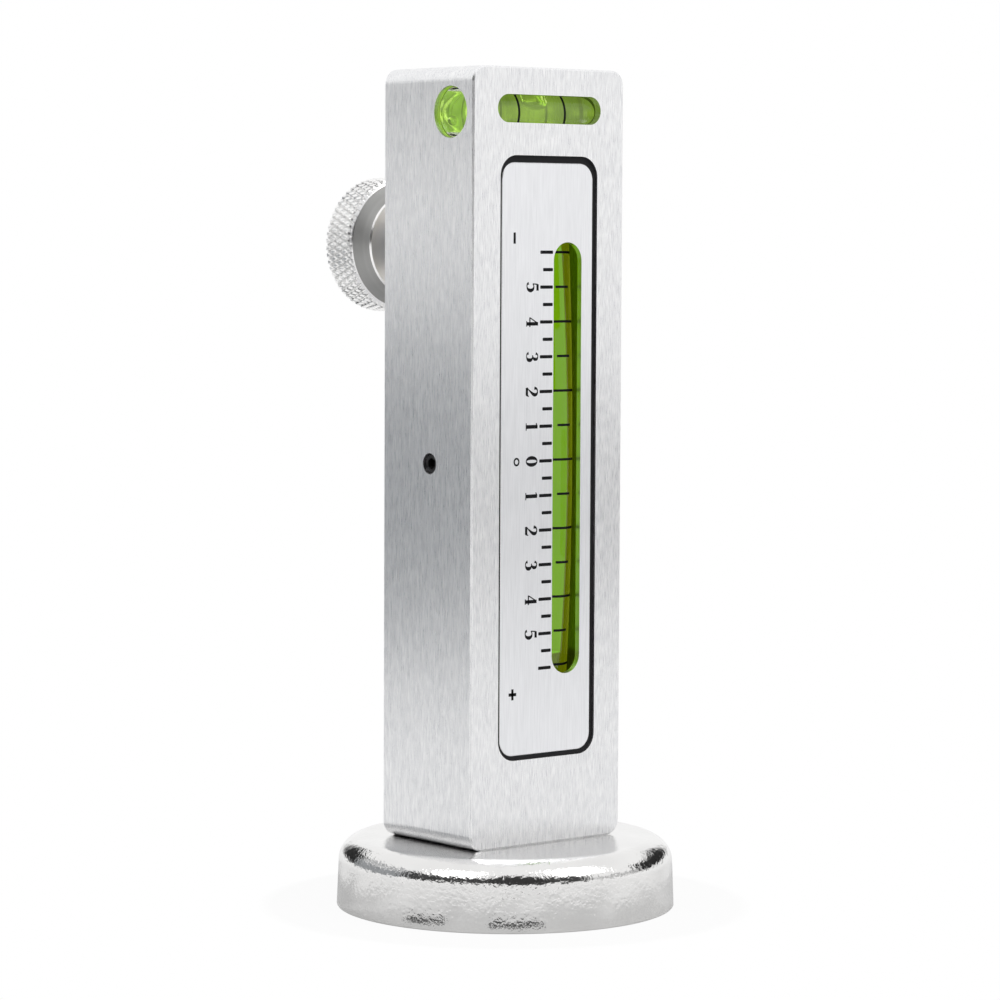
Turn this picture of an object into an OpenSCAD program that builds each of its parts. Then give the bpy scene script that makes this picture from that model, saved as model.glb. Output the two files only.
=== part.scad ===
// Magnetic camber and caster gauge: an aluminium bar on a round pot magnet.
// A bent spirit vial lies behind a slotted scale plate. Its carrier rocks on two pivot screws,
// pushed by the knurled adjuster at the back and returned by a spring. A small cross vial at
// the top levels the bar.
// Millimetres, Z up, scale face towards -Y, origin at the centre of the magnetic face.

/* [Body] */
// Width of the bar across the scale face
body_w = 38.1; // [34:0.1:60]
// Depth of the bar from front to back
body_d = 27.2; // [26:0.1:40]
// Height of the bar
body_h = 150; // [146:1:220]
// Radius of the bar's four corners, seen from the front
body_corner_r = 3; // [1:0.1:6]
// Width of the broken edge round the front and back faces
edge_break = 0.35; // [0.1:0.05:0.8]
// How far the bar's mid depth lies behind the base screw
body_set_back = 1.4; // [-1.5:0.1:3]

/* [Scale plate] */
// Width of the scale plate
plate_w = 22.9; // [21:0.1:28]
// Height of the scale plate
plate_h = 114.2; // [109:0.1:118]
// Thickness of the scale plate
plate_t = 1.2; // [0.8:0.1:2]
// Corner radius of the scale plate
plate_corner_r = 3.2; // [2:0.1:5]
// Depth of the plate's face below the bar's front face
plate_recess = 0.45; // [0.1:0.05:1]
// Distance of the plate's centre below the bar's mid height
plate_drop = 0.25; // [0:0.05:0.5]
// Width of the plate's viewing window
window_w = 7.1; // [5:0.1:8.4]
// Length of the plate's viewing window over its round ends
window_len = 83.8; // [70:0.1:90]
// Distance of the window from the bar's centreline
window_x = 5.15; // [4:0.05:6]

/* [Gasket] */
// Width of the rubber rim beside the plate
gasket_side = 0.8; // [0.5:0.05:1.2]
// Width of the rubber rim above and below the plate
gasket_end = 1.1; // [0.9:0.05:1.6]
// Thickness of the rubber under the plate
gasket_t = 0.5; // [0.3:0.1:1]
// Depth of the rim's top below the plate's face
gasket_sink = 0.1; // [0:0.05:0.4]

/* [Camber vial] */
// Outside diameter of the camber vial
camber_d = 8.8; // [8:0.1:8.9]
// Length of the camber vial
camber_len = 96; // [93:1:98]
// Distance of the camber vial from the bar's centreline
camber_x = 6; // [5.6:0.05:6.1]
// Space between the plate and the vial at the zero mark
camber_clear = 0.4; // [0.4:0.05:1]
// Radius that the outside of the camber vial is bent to
camber_bend_r = 650; // [500:10:900]
// Radius that its bore is bent to, 57.3 times the scale's millimetres for one degree
bore_bend_r = 384; // [360:1:600]
// Wall of the camber vial where bore and outside share an axis
camber_wall = 2.3; // [2:0.1:2.6]
// How far the bore lies in front of the vial's axis at the zero mark
bore_forward = 0.5; // [0.3:0.05:0.7]
// Length of the camber vial's lower plug
low_plug_len = 9.8; // [3:0.1:11]
// Length of the camber vial's upper plug
top_plug_len = 2.7; // [2:0.1:4]
// Depth of both plugs below the vial's ends
camber_plug_sink = 0.3; // [0.2:0.1:1]
// Length of the air bubble in the camber vial
camber_bubble_len = 2.6; // [1.5:0.1:3]
// Distance of the zero mark below the bar's mid height
zero_drop = 0.5; // [0:0.05:1]

/* [Vial carrier] */
// Length of the carrier
carrier_len = 102; // [99:0.5:104]
// Thickness of the carrier from front to back
carrier_t = 7.5; // [7.4:0.1:7.8]
// Distance of the carrier's front face behind the vial's axis at the zero mark
carrier_drop = 1.5; // [1.2:0.1:1.6]
// Distance of the carrier's left side from the bar's centreline
carrier_left = 4.8; // [4.7:0.1:5.5]
// Wall of the carrier to the right of the vial
carrier_wall = 0.35; // [0.3:0.05:0.4]
// Space between the carrier and each side of its pocket
carrier_side_clear = 0.35; // [0.3:0.05:0.4]
// Space between the carrier and each end of its pocket
carrier_end_clear = 2.5; // [1.5:0.1:3]
// Space behind the carrier that it rocks in
carrier_back_clear = 3; // [2.6:0.1:3.6]
// Thickness of the sheet that the vial clips are bent from
clip_t = 0.4; // [0.2:0.05:0.5]
// Width of each vial clip
clip_w = 5; // [4:0.1:6]
// Shank diameter of the clip screws
clip_screw_d = 2; // [1.6:0.1:2.5]

/* [Pivot screws] */
// Distance of the pivot behind the bar's front face
pivot_depth = 12.8; // [12.6:0.1:13.2]
// Distance of the pivot below the bar's mid height
pivot_drop = 1; // [0.5:0.1:1.5]
// Thread diameter of the pivot screws
pivot_screw_d = 4; // [3:0.5:5]
// Diameter of the point that the carrier turns on
pivot_point_d = 2.5; // [2:0.1:2.8]
// Length of the point
pivot_point_len = 2; // [1.6:0.1:2.6]
// Depth of each pivot screw's end below the bar's side
pivot_screw_sink = 0.5; // [0.2:0.1:1.5]

/* [Adjuster] */
// Height of the adjuster above the bar's mid height
adjuster_rise = 41; // [37:0.5:43]
// Diameter of the adjuster's stem
stem_d = 6; // [5:0.5:7]
// Outside diameter of the threaded bush in the bar's back wall
bush_d = 10; // [9:0.5:12]
// Diameter of the bush's flange
bush_flange_d = 13; // [13:0.5:16]
// Thickness of the bush's flange
bush_flange_t = 3; // [2:0.1:4]
// Diameter of the collar that centres the knob spring
bush_collar_d = 7.6; // [7.2:0.1:7.8]
// Height of the collar
bush_collar_h = 1.2; // [0.6:0.1:1.6]
// Distance of the knob's hub behind the bar
knob_stand_off = 15.6; // [13:0.1:20]
// Diameter over the knob's knurled rim
knob_d = 27; // [24:0.5:34]
// Thickness of the knob's rim
knob_t = 8; // [6:0.1:10]
// Depth of the knurl's grooves
knurl_depth = 0.55; // [0.3:0.05:0.8]
// Width of one knurl diamond round the rim
knurl_pitch = 1.45; // [1.2:0.05:2.5]
// Width of the bevel on the knob's rim
knob_bevel = 0.45; // [0.3:0.05:1.2]
// Diameter of the knob's end face, which the shoulder tapers down to
hub_d = 20.6; // [16:0.2:22]
// Height of the knob's tapered shoulder
hub_h = 2.8; // [1.5:0.1:4]
// Width of the bevel round the end face
hub_bevel = 0.3; // [0.2:0.05:0.6]
// Diameter of the stem's spigot in the knob
spigot_d = 5; // [4:0.1:5]
// Thickness of metal left over the spigot's end
knob_floor = 1.4; // [1:0.1:2]
// Thread diameter of the knob's set screw
knob_screw_d = 3; // [2:0.5:4]
// Length of the knob's set screw
knob_screw_len = 6; // [4:0.5:8]
// Diameter of the ball in the stem's tip
ball_d = 4; // [3.5:0.1:4.4]
// How far the ball stands out of the stem's tip
ball_proud = 1.2; // [0.9:0.1:1.5]

/* [Springs] */
// Outside diameter of the knob spring
knob_spring_d = 10.2; // [10:0.1:11]
// Wire diameter of the knob spring
knob_spring_wire = 0.9; // [0.6:0.1:1]
// Number of coils in the knob spring
knob_spring_turns = 6; // [4:1:7]
// Outside diameter of the washer behind the knob spring
washer_d = 11; // [10.5:0.1:12]
// Thickness of the washer
washer_t = 0.8; // [0.5:0.1:1.2]
// Outside diameter of the return spring
return_spring_d = 5.2; // [4.5:0.1:5.6]
// Wire diameter of the return spring
return_spring_wire = 0.6; // [0.4:0.1:0.8]
// Number of coils in the return spring
return_spring_turns = 6; // [4:1:7]
// Depth of the return spring's seat in the carrier
carrier_seat_depth = 1.6; // [1:0.1:1.8]
// Depth of the return spring's seat in the bar
body_seat_depth = 5; // [3:0.1:5.5]

/* [Level vial] */
// Distance of the level vial below the bar's top
level_drop = 8.7; // [7.5:0.1:10]
// Distance of the level vial behind the bar's front face
level_depth = 6.8; // [6:0.1:9]
// Diameter of the cross bore that holds the level vial
level_bore_d = 9.9; // [9:0.1:11]
// Depth of the level vial's ends below the bar's sides
level_sink = 1.1; // [0.3:0.1:2]
// Wall of the level vial
level_wall = 1; // [0.7:0.1:1.5]
// Length of the level vial's plug, and of its closed end
level_plug_len = 3.5; // [2:0.1:4]
// Radius of the air bubble in the level vial
level_bubble_r = 1.7; // [1:0.1:2]
// Length of the air bubble in the level vial
level_bubble_len = 6.5; // [5:0.1:8]
// Width of the level vial's window over its round ends
level_window_w = 26; // [20:0.1:29]
// Height of the level vial's window
level_window_h = 5.4; // [4:0.1:6]
// Distance of the window's middle above the level vial's axis
level_window_lift = 0.75; // [0:0.05:1]

/* [Base] */
// Diameter of the pot magnet at its rim
base_d = 66.4; // [60:0.1:80]
// Height of the pot magnet
base_h = 13.5; // [12:0.1:16]
// Thickness of the pressed steel cup
cup_wall = 2.4; // [1.6:0.1:3]
// Radius of the cup's outer top edge
cup_edge_r = 4.7; // [3.5:0.1:5.5]
// How much smaller the cup's radius is at the top of its side
cup_draft = 0.35; // [0:0.05:0.8]
// Width of the resin ring between the magnet and the cup
resin_w = 4.8; // [3:0.1:8]
// Diameter of the hole through the ring magnet
magnet_hole_d = 16; // [14:0.5:16]
// Depth of the magnet's face below the cup's rim
magnet_sink = 0.2; // [0:0.05:0.5]
// Depth of the resin ring's face below the cup's rim
resin_sink = 0.6; // [0.2:0.1:1.5]
// Thread diameter of the base screw
base_screw_d = 6; // [5:0.5:8]
// Head diameter of the base screw
base_head_d = 10; // [10:0.5:12]
// Head height of the base screw
base_head_h = 3.6; // [3:0.1:4]
// Length of thread in the bar
base_screw_grip = 11; // [8:0.5:12]
// Thickness of the lock washer under the head
lock_washer_t = 1.4; // [1:0.1:1.8]
// Width of the split in the lock washer
lock_washer_gap = 0.8; // [0.4:0.1:1.5]

/* [Fits] */
// Radial gap of parts that are pressed, glued or screwed in
seat_gap = 0.02; // [0.01:0.01:0.05]
// Radial gap of parts that turn or slide
run_gap = 0.05; // [0.03:0.01:0.08]
// Gap where the ball bears on the carrier and the springs on their seats
touch_gap = 0.1; // [0.05:0.01:0.15]

/* [Hidden] */
$fn = 96;
cut = 1; // how far a cutting shape runs past the surface it opens
socket_share = 0.5; // hex socket's width over flats as a share of a set screw's thread
coil_rings = 12; // rings of points in one turn of a spring
coil_sides = 6; // sides of a spring's wire
knurl_rows = 6; // half rows of diamonds across the rim
turned_bevel = 0.5; // bevel on the edges of the larger turned parts
screw_bevel = 0.3; // bevel on a set screw's end
plate_edge_break = 0.12; // broken edge of the scale plate
clip_slot = 0.5; // width and depth of the slot in a clip screw's head
screw_play = 0.3; // radial play of the base screw in the cup and in its washer

// Places along the height, measured from the bar's mid height
level_z = body_h / 2 - level_drop;
lever = adjuster_rise + pivot_drop;
return_z = -pivot_drop - lever;

// Places along the depth, measured from the front face
plate_back = plate_recess + plate_t;
gasket_back = plate_back + gasket_t;
vial_axis = plate_back + camber_clear + camber_d / 2;
carrier_front = vial_axis + carrier_drop;
carrier_back = carrier_front + carrier_t;
pocket_floor = carrier_back + carrier_back_clear;
back_wall = body_d - pocket_floor;
hub_end = body_d + knob_stand_off;
rim_start = hub_end + hub_h;
rim_end = rim_start + knob_t;
ball_centre = carrier_back + touch_gap + ball_d / 2;
stem_tip = carrier_back + touch_gap + ball_proud;
spigot_end = rim_end - knob_floor;

// Places along the width, measured from the bar's centreline
carrier_right = camber_x + camber_d / 2 + run_gap + carrier_wall;
carrier_w = carrier_left + carrier_right;
carrier_x = (carrier_right - carrier_left) / 2;
pocket_w = carrier_w + 2 * carrier_side_clear;
clip_screw_x = -carrier_left / 2;

recess_w = plate_w + 2 * gasket_side;
recess_h = plate_h + 2 * gasket_end;
recess_corner_r = plate_corner_r + gasket_side;
pocket_h = carrier_len + 2 * carrier_end_clear;
pocket_corner_r = 3;
carrier_corner_r = pocket_corner_r - carrier_side_clear;

camber_bore_r = camber_d / 2 - camber_wall;
groove_r = camber_d / 2 + run_gap;
bore_axis = vial_axis - bore_forward;
plug_end_z = camber_len / 2 - camber_plug_sink;
fluid_low_z = low_plug_len - plug_end_z;
fluid_top_z = plug_end_z - top_plug_len - camber_bubble_len;
clip_z = camber_len / 2 - clip_w / 2 - 0.5;
clip_vial_axis = vial_axis + camber_bend_r - sqrt(camber_bend_r ^ 2 - clip_z ^ 2);
clip_r = groove_r + clip_t;
clip_screw_len = 4;
clip_head_d = 1.9 * clip_screw_d;
clip_head_h = 0.65 * clip_screw_d;

level_vial_d = level_bore_d - 4 * seat_gap;
level_vial_len = body_w - 2 * level_sink;
level_inner_r = level_vial_d / 2 - level_wall;

knurl_count = floor(PI * knob_d / knurl_pitch);
knurl_root_r = knob_d / 2 - knurl_depth;
knurl_bed = 1.4 * knurl_pitch;
knob_core_r = knurl_root_r - knurl_pitch / 30;
rim_face_r = knob_core_r - knob_bevel;
knob_screw_y = rim_start + knob_t / 2;

return_seat_d = return_spring_d + 0.8;
return_start = carrier_back - carrier_seat_depth + touch_gap;
return_end = pocket_floor + body_seat_depth - touch_gap;
knob_spring_start = body_d + bush_flange_t + touch_gap;
knob_spring_end = hub_end - washer_t - 2 * touch_gap;

cup_inner_h = base_h - cup_wall;
magnet_d = base_d - 2 * cup_wall - 2 * resin_w;
cup_side_h = base_h - cup_edge_r;
head_top = cup_inner_h - lock_washer_t;

// ---- Shapes that repeat ----

// Puts children in the bar's own frame: depth along Y from the front face, height from the middle
module in_bar() {
    translate([0, body_set_back - body_d / 2, base_h + body_h / 2]) children();
}

// Turns children drawn along +Z so that they run along +Y, from the front towards the back
module along_depth() {
    rotate([-90, 0, 0]) children();
}

// Turns children drawn along +Z so that they run along +X
module along_width() {
    rotate([0, 90, 0]) children();
}

// A rectangle with round corners
module rounded_outline(w, h, r) {
    square([w - 2 * r, h], center = true);
    square([w, h - 2 * r], center = true);
    for (sx = [-1, 1], sy = [-1, 1]) translate([sx * (w / 2 - r), sy * (h / 2 - r)]) circle(r);
}

// A slab with round corners, from one depth to another
module slab(w, h, r, from, to) {
    translate([0, to, 0]) rotate([90, 0, 0]) linear_extrude(to - from) rounded_outline(w, h, r);
}

// The outline of a slab's edge with both corners broken
module broken_strip(half, from, to, bevel) {
    polygon([
        [-half, from + bevel], [-half + bevel, from], [half - bevel, from], [half, from + bevel],
        [half, to - bevel], [half - bevel, to], [-half + bevel, to], [-half, to - bevel]
    ]);
}

// A slab whose front and back edges are broken all the way round, corners included
module broken_slab(w, h, r, from, to, bevel) {
    linear_extrude(h - 2 * r, center = true) broken_strip(w / 2, from, to, bevel);
    along_width() linear_extrude(w - 2 * r, center = true) broken_strip(h / 2, from, to, bevel);
    for (sx = [-1, 1], sz = [-1, 1]) translate([sx * (w / 2 - r), 0, sz * (h / 2 - r)])
        rotate([-90, 0, 0]) rotate_extrude() intersection() {
            broken_strip(r, from, to, bevel);
            translate([0, from]) square([r, to - from]);
        }
}

// A slot with round ends that runs along the height, from one depth to another
module upright_slot(w, len, from, to) {
    slab(w, len, w / 2 - 0.001, from, to);
}

// A bent rod whose axis has one depth at the zero mark and falls back towards both ends
module bent_rod(r, bend_r, axis, low_z, top_z) {
    low = asin(low_z / bend_r);
    translate([camber_x, axis + bend_r, -zero_drop]) rotate([90, 0, -90]) rotate([0, 0, low])
        rotate_extrude(angle = asin(top_z / bend_r) - low, $fn = 360) translate([bend_r, 0]) circle(r);
}

module in_bore(low_z, top_z) {
    bent_rod(camber_bore_r - seat_gap, bore_bend_r, bore_axis, low_z, top_z);
}

// A spring along +Z: one unbroken wire with a formula for its centreline
function coil_point(r, len, turns, share) =
    [r * cos(360 * turns * share), r * sin(360 * turns * share), len * share];

function coil_points(r, wire, len, turns) = [
    let (n = turns * coil_rings, climb = atan(len / turns / (2 * PI * r)))
    for (i = [0 : n], k = [0 : coil_sides - 1])
        let (
            turn = 360 * turns * i / n,
            side = 360 * k / coil_sides,
            centre = coil_point(r, len, turns, i / n),
            out = [cos(turn), sin(turn), 0],
            up = [sin(turn) * sin(climb), -cos(turn) * sin(climb), cos(climb)]
        )
        centre + wire / 2 * (cos(side) * out + sin(side) * up)
];

// The least gap between a spring's neighbouring turns, measured between points of the centreline
function coil_gap(r, wire, len, turns) =
    let (n = turns * coil_rings)
    min([
        for (i = [0 : n - coil_rings], j = [i + coil_rings / 2 : n])
            norm(coil_point(r, len, turns, i / n) - coil_point(r, len, turns, j / n))
    ]) - wire;

module coil(outer_d, wire, len, turns) {
    r = (outer_d - wire) / 2;
    rise = len - wire;
    rings = turns * coil_rings;
    s = coil_sides;
    walls = [
        for (i = [0 : rings - 1], k = [0 : s - 1], half = [0, 1])
            let (a = i * s + k, b = i * s + (k + 1) % s)
            half == 0 ? [a, a + s, b] : [b, a + s, b + s]
    ];
    start = [for (k = [1 : s - 2]) [0, k, k + 1]];
    end = [for (k = [1 : s - 2]) [rings * s, rings * s + k + 1, rings * s + k]];
    translate([0, 0, wire / 2])
        polyhedron(points = coil_points(r, wire, rise, turns), faces = concat(walls, start, end));
}

// A hex socket cut down from a screw's end at z = 0
module hex_socket(across_flats, depth) {
    translate([0, 0, -depth]) cylinder(d = across_flats / cos(30), h = depth + cut, $fn = 6);
}

// A set screw's socket is as deep as it is wide
module set_screw_socket(thread_d) {
    hex_socket(thread_d * socket_share, thread_d * socket_share);
}

// ---- The bar and what is fixed to it ----

module body() {
    color("silver") in_bar() difference() {
        broken_slab(body_w, body_h, body_corner_r, 0, body_d, edge_break);
        slab(recess_w, recess_h, recess_corner_r, -cut, gasket_back);
        translate([carrier_x, 0, 0]) slab(pocket_w, pocket_h, pocket_corner_r, -cut, pocket_floor);
        level_cavity();
        pivot_holes();
        adjuster_hole();
        translate([0, pocket_floor - cut, return_z]) along_depth()
            cylinder(d = return_seat_d, h = body_seat_depth + cut);
        translate([0, body_d / 2 - body_set_back, -body_h / 2 - cut])
            cylinder(r = base_screw_d / 2 + seat_gap, h = base_screw_grip + 2 * cut);
    }
}

// The cross bore for the level vial and the window that opens into it
module level_cavity() {
    translate([-body_w / 2 - cut, level_depth, level_z]) along_width()
        cylinder(d = level_bore_d, h = body_w + 2 * cut);
    translate([0, 0, level_z + level_window_lift]) rotate([0, 90, 0])
        upright_slot(level_window_h, level_window_w, -cut, level_depth);
}

module pivot_holes() {
    translate([-body_w / 2 - cut, pivot_depth, -pivot_drop]) along_width()
        cylinder(r = pivot_screw_d / 2 + seat_gap, h = body_w + 2 * cut);
}

module adjuster_hole() {
    translate([0, pocket_floor - cut, adjuster_rise]) along_depth()
        cylinder(r = bush_d / 2 + seat_gap, h = back_wall + 2 * cut);
}

module scale_plate() {
    color("gainsboro") in_bar() translate([0, 0, -plate_drop]) difference() {
        broken_slab(plate_w, plate_h, plate_corner_r, plate_recess, plate_back, plate_edge_break);
        translate([window_x, 0, 0]) upright_slot(window_w, window_len, 0, plate_back + cut);
    }
}

// Rubber frame of L section: under the plate's edge and round its rim
module plate_gasket() {
    color("black") in_bar() difference() {
        slab(
            recess_w - 2 * seat_gap, recess_h - 2 * seat_gap, recess_corner_r - seat_gap,
            plate_recess + gasket_sink, gasket_back - seat_gap
        );
        translate([0, 0, -plate_drop]) slab(
            plate_w + 2 * seat_gap, plate_h + 2 * seat_gap, plate_corner_r + seat_gap,
            0, plate_back + seat_gap
        );
        translate([carrier_x, 0, 0]) slab(pocket_w, pocket_h, pocket_corner_r, 0, gasket_back + cut);
    }
}

// ---- The camber vial on its carrier ----

module vial_carrier() {
    color("dimgray") in_bar() difference() {
        translate([carrier_x, 0, -pivot_drop])
            slab(carrier_w, carrier_len, carrier_corner_r, carrier_front, carrier_back);
        bent_rod(groove_r, camber_bend_r, vial_axis, -carrier_len, carrier_len);
        for (side = [-1, 1]) translate([side > 0 ? carrier_right : -carrier_left, 0, 0])
            translate([0, pivot_depth, -pivot_drop]) along_width()
                cylinder(r = pivot_point_d / 2 + run_gap, h = 2 * pivot_point_len, center = true);
        translate([0, carrier_back - carrier_seat_depth, return_z]) along_depth()
            cylinder(d = return_seat_d, h = carrier_seat_depth + cut);
        clip_screw_places() translate([0, carrier_front - cut, 0]) along_depth()
            cylinder(r = clip_screw_d / 2 + seat_gap, h = clip_screw_len + cut + 0.3);
    }
}

module camber_vial() {
    color("palegreen", 0.5) in_bar() difference() {
        bent_rod(camber_d / 2, camber_bend_r, vial_axis, -camber_len / 2, camber_len / 2);
        bent_rod(camber_bore_r, bore_bend_r, bore_axis, -camber_len, camber_len);
    }
}

// The fluid stops below the bubble, which rises to the top when the gauge stands
module camber_fluid() {
    color("yellowgreen") in_bar() in_bore(fluid_low_z, fluid_top_z);
}

module camber_vial_plugs() {
    color("white") in_bar() {
        in_bore(-plug_end_z, fluid_low_z);
        in_bore(plug_end_z - top_plug_len, plug_end_z);
    }
}

// Runs children once at each clip screw
module clip_screw_places() {
    for (end = [-1, 1]) translate([clip_screw_x, 0, end * clip_z - zero_drop]) children();
}

// Puts children on the camber vial's axis at a height, with +Z along the vial
module on_camber_axis(z) {
    translate([camber_x, vial_axis + camber_bend_r, -zero_drop])
        rotate([-asin(z / camber_bend_r), 0, 0]) translate([0, -camber_bend_r, 0]) children();
}

// A bent strip hooks over each end of the vial and holds it down in the groove
module vial_clips() {
    tab_left = carrier_left - 0.4;
    half_arch = sqrt(clip_r ^ 2 - (clip_vial_axis - carrier_front) ^ 2);
    arch_w = 2 * clip_r + 2 * cut;
    color("lightsteelblue") in_bar() for (end = [-1, 1]) difference() {
        union() {
            intersection() {
                on_camber_axis(end * clip_z) cylinder(r = clip_r, h = 2 * clip_w, center = true);
                translate([camber_x, carrier_front - arch_w / 2, end * clip_z - zero_drop])
                    cube([arch_w, arch_w, clip_w], center = true);
            }
            translate([-tab_left, carrier_front - clip_t, end * clip_z - zero_drop - clip_w / 2])
                cube([tab_left + camber_x - half_arch + clip_t, clip_t, clip_w]);
        }
        on_camber_axis(end * clip_z) cylinder(r = groove_r, h = 3 * clip_w, center = true);
        translate([clip_screw_x, carrier_front + cut, end * clip_z - zero_drop]) rotate([90, 0, 0])
            cylinder(r = clip_screw_d / 2 + seat_gap, h = clip_t + 2 * cut);
    }
}

module clip_screws() {
    head = carrier_front - clip_t - clip_head_h;
    color("silver") in_bar() clip_screw_places() difference() {
        union() {
            translate([0, carrier_front - clip_t, 0]) along_depth()
                cylinder(d = clip_screw_d, h = clip_t + clip_screw_len);
            translate([0, head, 0]) along_depth() cylinder(d = clip_head_d, h = clip_head_h);
        }
        translate([-clip_head_d, head - cut, -clip_slot / 2])
            cube([2 * clip_head_d, cut + clip_slot, clip_slot]);
    }
}

// A set screw with a plain point, drawn along +Z from its socket end to the point
module pivot_screw(thread_len) {
    difference() {
        union() {
            cylinder(d1 = pivot_screw_d - 2 * screw_bevel, d2 = pivot_screw_d, h = screw_bevel);
            translate([0, 0, screw_bevel]) cylinder(d = pivot_screw_d, h = thread_len - screw_bevel);
            translate([0, 0, thread_len]) cylinder(d = pivot_point_d, h = pivot_point_len);
        }
        mirror([0, 0, 1]) set_screw_socket(pivot_screw_d);
    }
}

module left_pivot_screw() {
    start = -body_w / 2 + pivot_screw_sink;
    end = -carrier_left - carrier_side_clear;
    color("black") in_bar() translate([start, pivot_depth, -pivot_drop]) along_width()
        pivot_screw(end - start);
}

module right_pivot_screw() {
    start = body_w / 2 - pivot_screw_sink;
    end = carrier_right + carrier_side_clear;
    color("black") in_bar() translate([start, pivot_depth, -pivot_drop]) rotate([0, -90, 0])
        pivot_screw(start - end);
}

module return_spring() {
    color("lightgray") in_bar() translate([0, return_start, return_z]) along_depth()
        coil(return_spring_d, return_spring_wire, return_end - return_start, return_spring_turns);
}

// ---- The adjuster ----

module adjuster_bush() {
    color("goldenrod") in_bar() translate([0, 0, adjuster_rise]) difference() {
        union() {
            translate([0, pocket_floor, 0]) along_depth() cylinder(d = bush_d, h = back_wall);
            translate([0, body_d, 0]) along_depth() {
                cylinder(d = bush_flange_d, h = bush_flange_t - turned_bevel);
                translate([0, 0, bush_flange_t - turned_bevel])
                    cylinder(d1 = bush_flange_d, d2 = bush_flange_d - 2 * turned_bevel, h = turned_bevel);
                cylinder(d = bush_collar_d, h = bush_flange_t + bush_collar_h);
            }
        }
        translate([0, pocket_floor - cut, 0]) along_depth()
            cylinder(r = stem_d / 2 + run_gap, h = back_wall + bush_flange_t + bush_collar_h + 2 * cut);
    }
}

module adjuster_stem() {
    socket_end = ball_centre + ball_d / 2 + run_gap;
    color("darkgray") in_bar() translate([0, 0, adjuster_rise]) difference() {
        union() {
            translate([0, stem_tip, 0]) along_depth()
                cylinder(d1 = stem_d - 2 * turned_bevel, d2 = stem_d, h = turned_bevel);
            translate([0, stem_tip + turned_bevel, 0]) along_depth()
                cylinder(d = stem_d, h = hub_end - stem_tip - turned_bevel);
            translate([0, hub_end, 0]) along_depth() cylinder(d = spigot_d, h = spigot_end - hub_end);
        }
        translate([0, stem_tip - cut, 0]) along_depth()
            cylinder(r = ball_d / 2 + run_gap, h = socket_end - stem_tip + cut);
    }
}

module thrust_ball() {
    color("whitesmoke") in_bar() translate([0, ball_centre, adjuster_rise]) sphere(d = ball_d);
}

// Height of the knurled surface: crests and crossings alternate, and both edge rows stay low
function knurl_r(column, row) =
    row == 0 || row == knurl_rows || (column + row) % 2 == 1 ? knurl_root_r : knob_d / 2;

// The knurled band along +Z: a lattice of diamond pyramids between two crossing sets of grooves
module knurled_ring(width) {
    columns = 2 * knurl_count;
    outer = [
        for (row = [0 : knurl_rows], column = [0 : columns - 1])
            let (r = knurl_r(column, row), turn = 360 * column / columns)
            [r * cos(turn), r * sin(turn), width * row / knurl_rows]
    ];
    inner = [
        for (z = [0, width], column = [0 : columns - 1])
            let (r = knurl_root_r - knurl_bed, turn = 360 * column / columns)
            [r * cos(turn), r * sin(turn), z]
    ];
    first_inner = (knurl_rows + 1) * columns;
    diamonds = [
        for (row = [0 : knurl_rows - 1], column = [0 : columns - 1], half = [0, 1])
            let (
                a = row * columns + column,
                b = row * columns + (column + 1) % columns,
                groove_from_a = (column + row) % 2 == 1
            )
            groove_from_a
                ? (half == 0 ? [a, b + columns, b] : [a, a + columns, b + columns])
                : (half == 0 ? [a, a + columns, b] : [b, a + columns, b + columns])
    ];
    rest = [
        for (column = [0 : columns - 1], half = [0, 1], side = [0, 1, 2])
            let (
                next = (column + 1) % columns,
                a = side == 1 ? knurl_rows * columns + column : side == 2 ? first_inner + column : column,
                b = side == 1 ? knurl_rows * columns + next : side == 2 ? first_inner + next : next,
                shift = side == 0 ? first_inner : side == 1 ? first_inner + columns
                    - knurl_rows * columns : columns,
                flip = side == 1
            )
            flip
                ? (half == 0 ? [a, a + shift, b] : [b, a + shift, b + shift])
                : (half == 0 ? [a, b, a + shift] : [b, b + shift, a + shift])
    ];
    polyhedron(points = concat(outer, inner), faces = concat(diamonds, rest));
}

module adjuster_knob() {
    color("gainsboro") in_bar() translate([0, 0, adjuster_rise]) difference() {
        union() {
            translate([0, rim_start + knob_bevel, 0]) along_depth()
                knurled_ring(knob_t - 2 * knob_bevel);
            translate([0, rim_start, 0]) along_depth() {
                cylinder(r1 = rim_face_r, r2 = knob_core_r, h = knob_bevel);
                translate([0, 0, knob_bevel]) cylinder(r = knob_core_r, h = knob_t - 2 * knob_bevel);
                translate([0, 0, knob_t - knob_bevel])
                    cylinder(r1 = knob_core_r, r2 = rim_face_r, h = knob_bevel);
            }
            translate([0, hub_end, 0]) along_depth() {
                cylinder(d1 = hub_d - 2 * hub_bevel, d2 = hub_d, h = hub_bevel);
                translate([0, 0, hub_bevel])
                    cylinder(d1 = hub_d, d2 = 2 * rim_face_r, h = hub_h - hub_bevel);
            }
        }
        translate([0, hub_end - cut, 0]) along_depth()
            cylinder(r = spigot_d / 2 + seat_gap, h = spigot_end - hub_end + cut);
        translate([0, knob_screw_y, 0]) along_width()
            cylinder(r = knob_screw_d / 2 + seat_gap, h = knob_d);
    }
}

module knob_set_screw() {
    start = spigot_d / 2 + seat_gap;
    color("black") in_bar() translate([start, knob_screw_y, adjuster_rise]) along_width() difference() {
        cylinder(d = knob_screw_d, h = knob_screw_len);
        translate([0, 0, knob_screw_len]) set_screw_socket(knob_screw_d);
    }
}

module knob_spring() {
    color("lightgray") in_bar() translate([0, knob_spring_start, adjuster_rise]) along_depth()
        coil(knob_spring_d, knob_spring_wire, knob_spring_end - knob_spring_start, knob_spring_turns);
}

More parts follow.
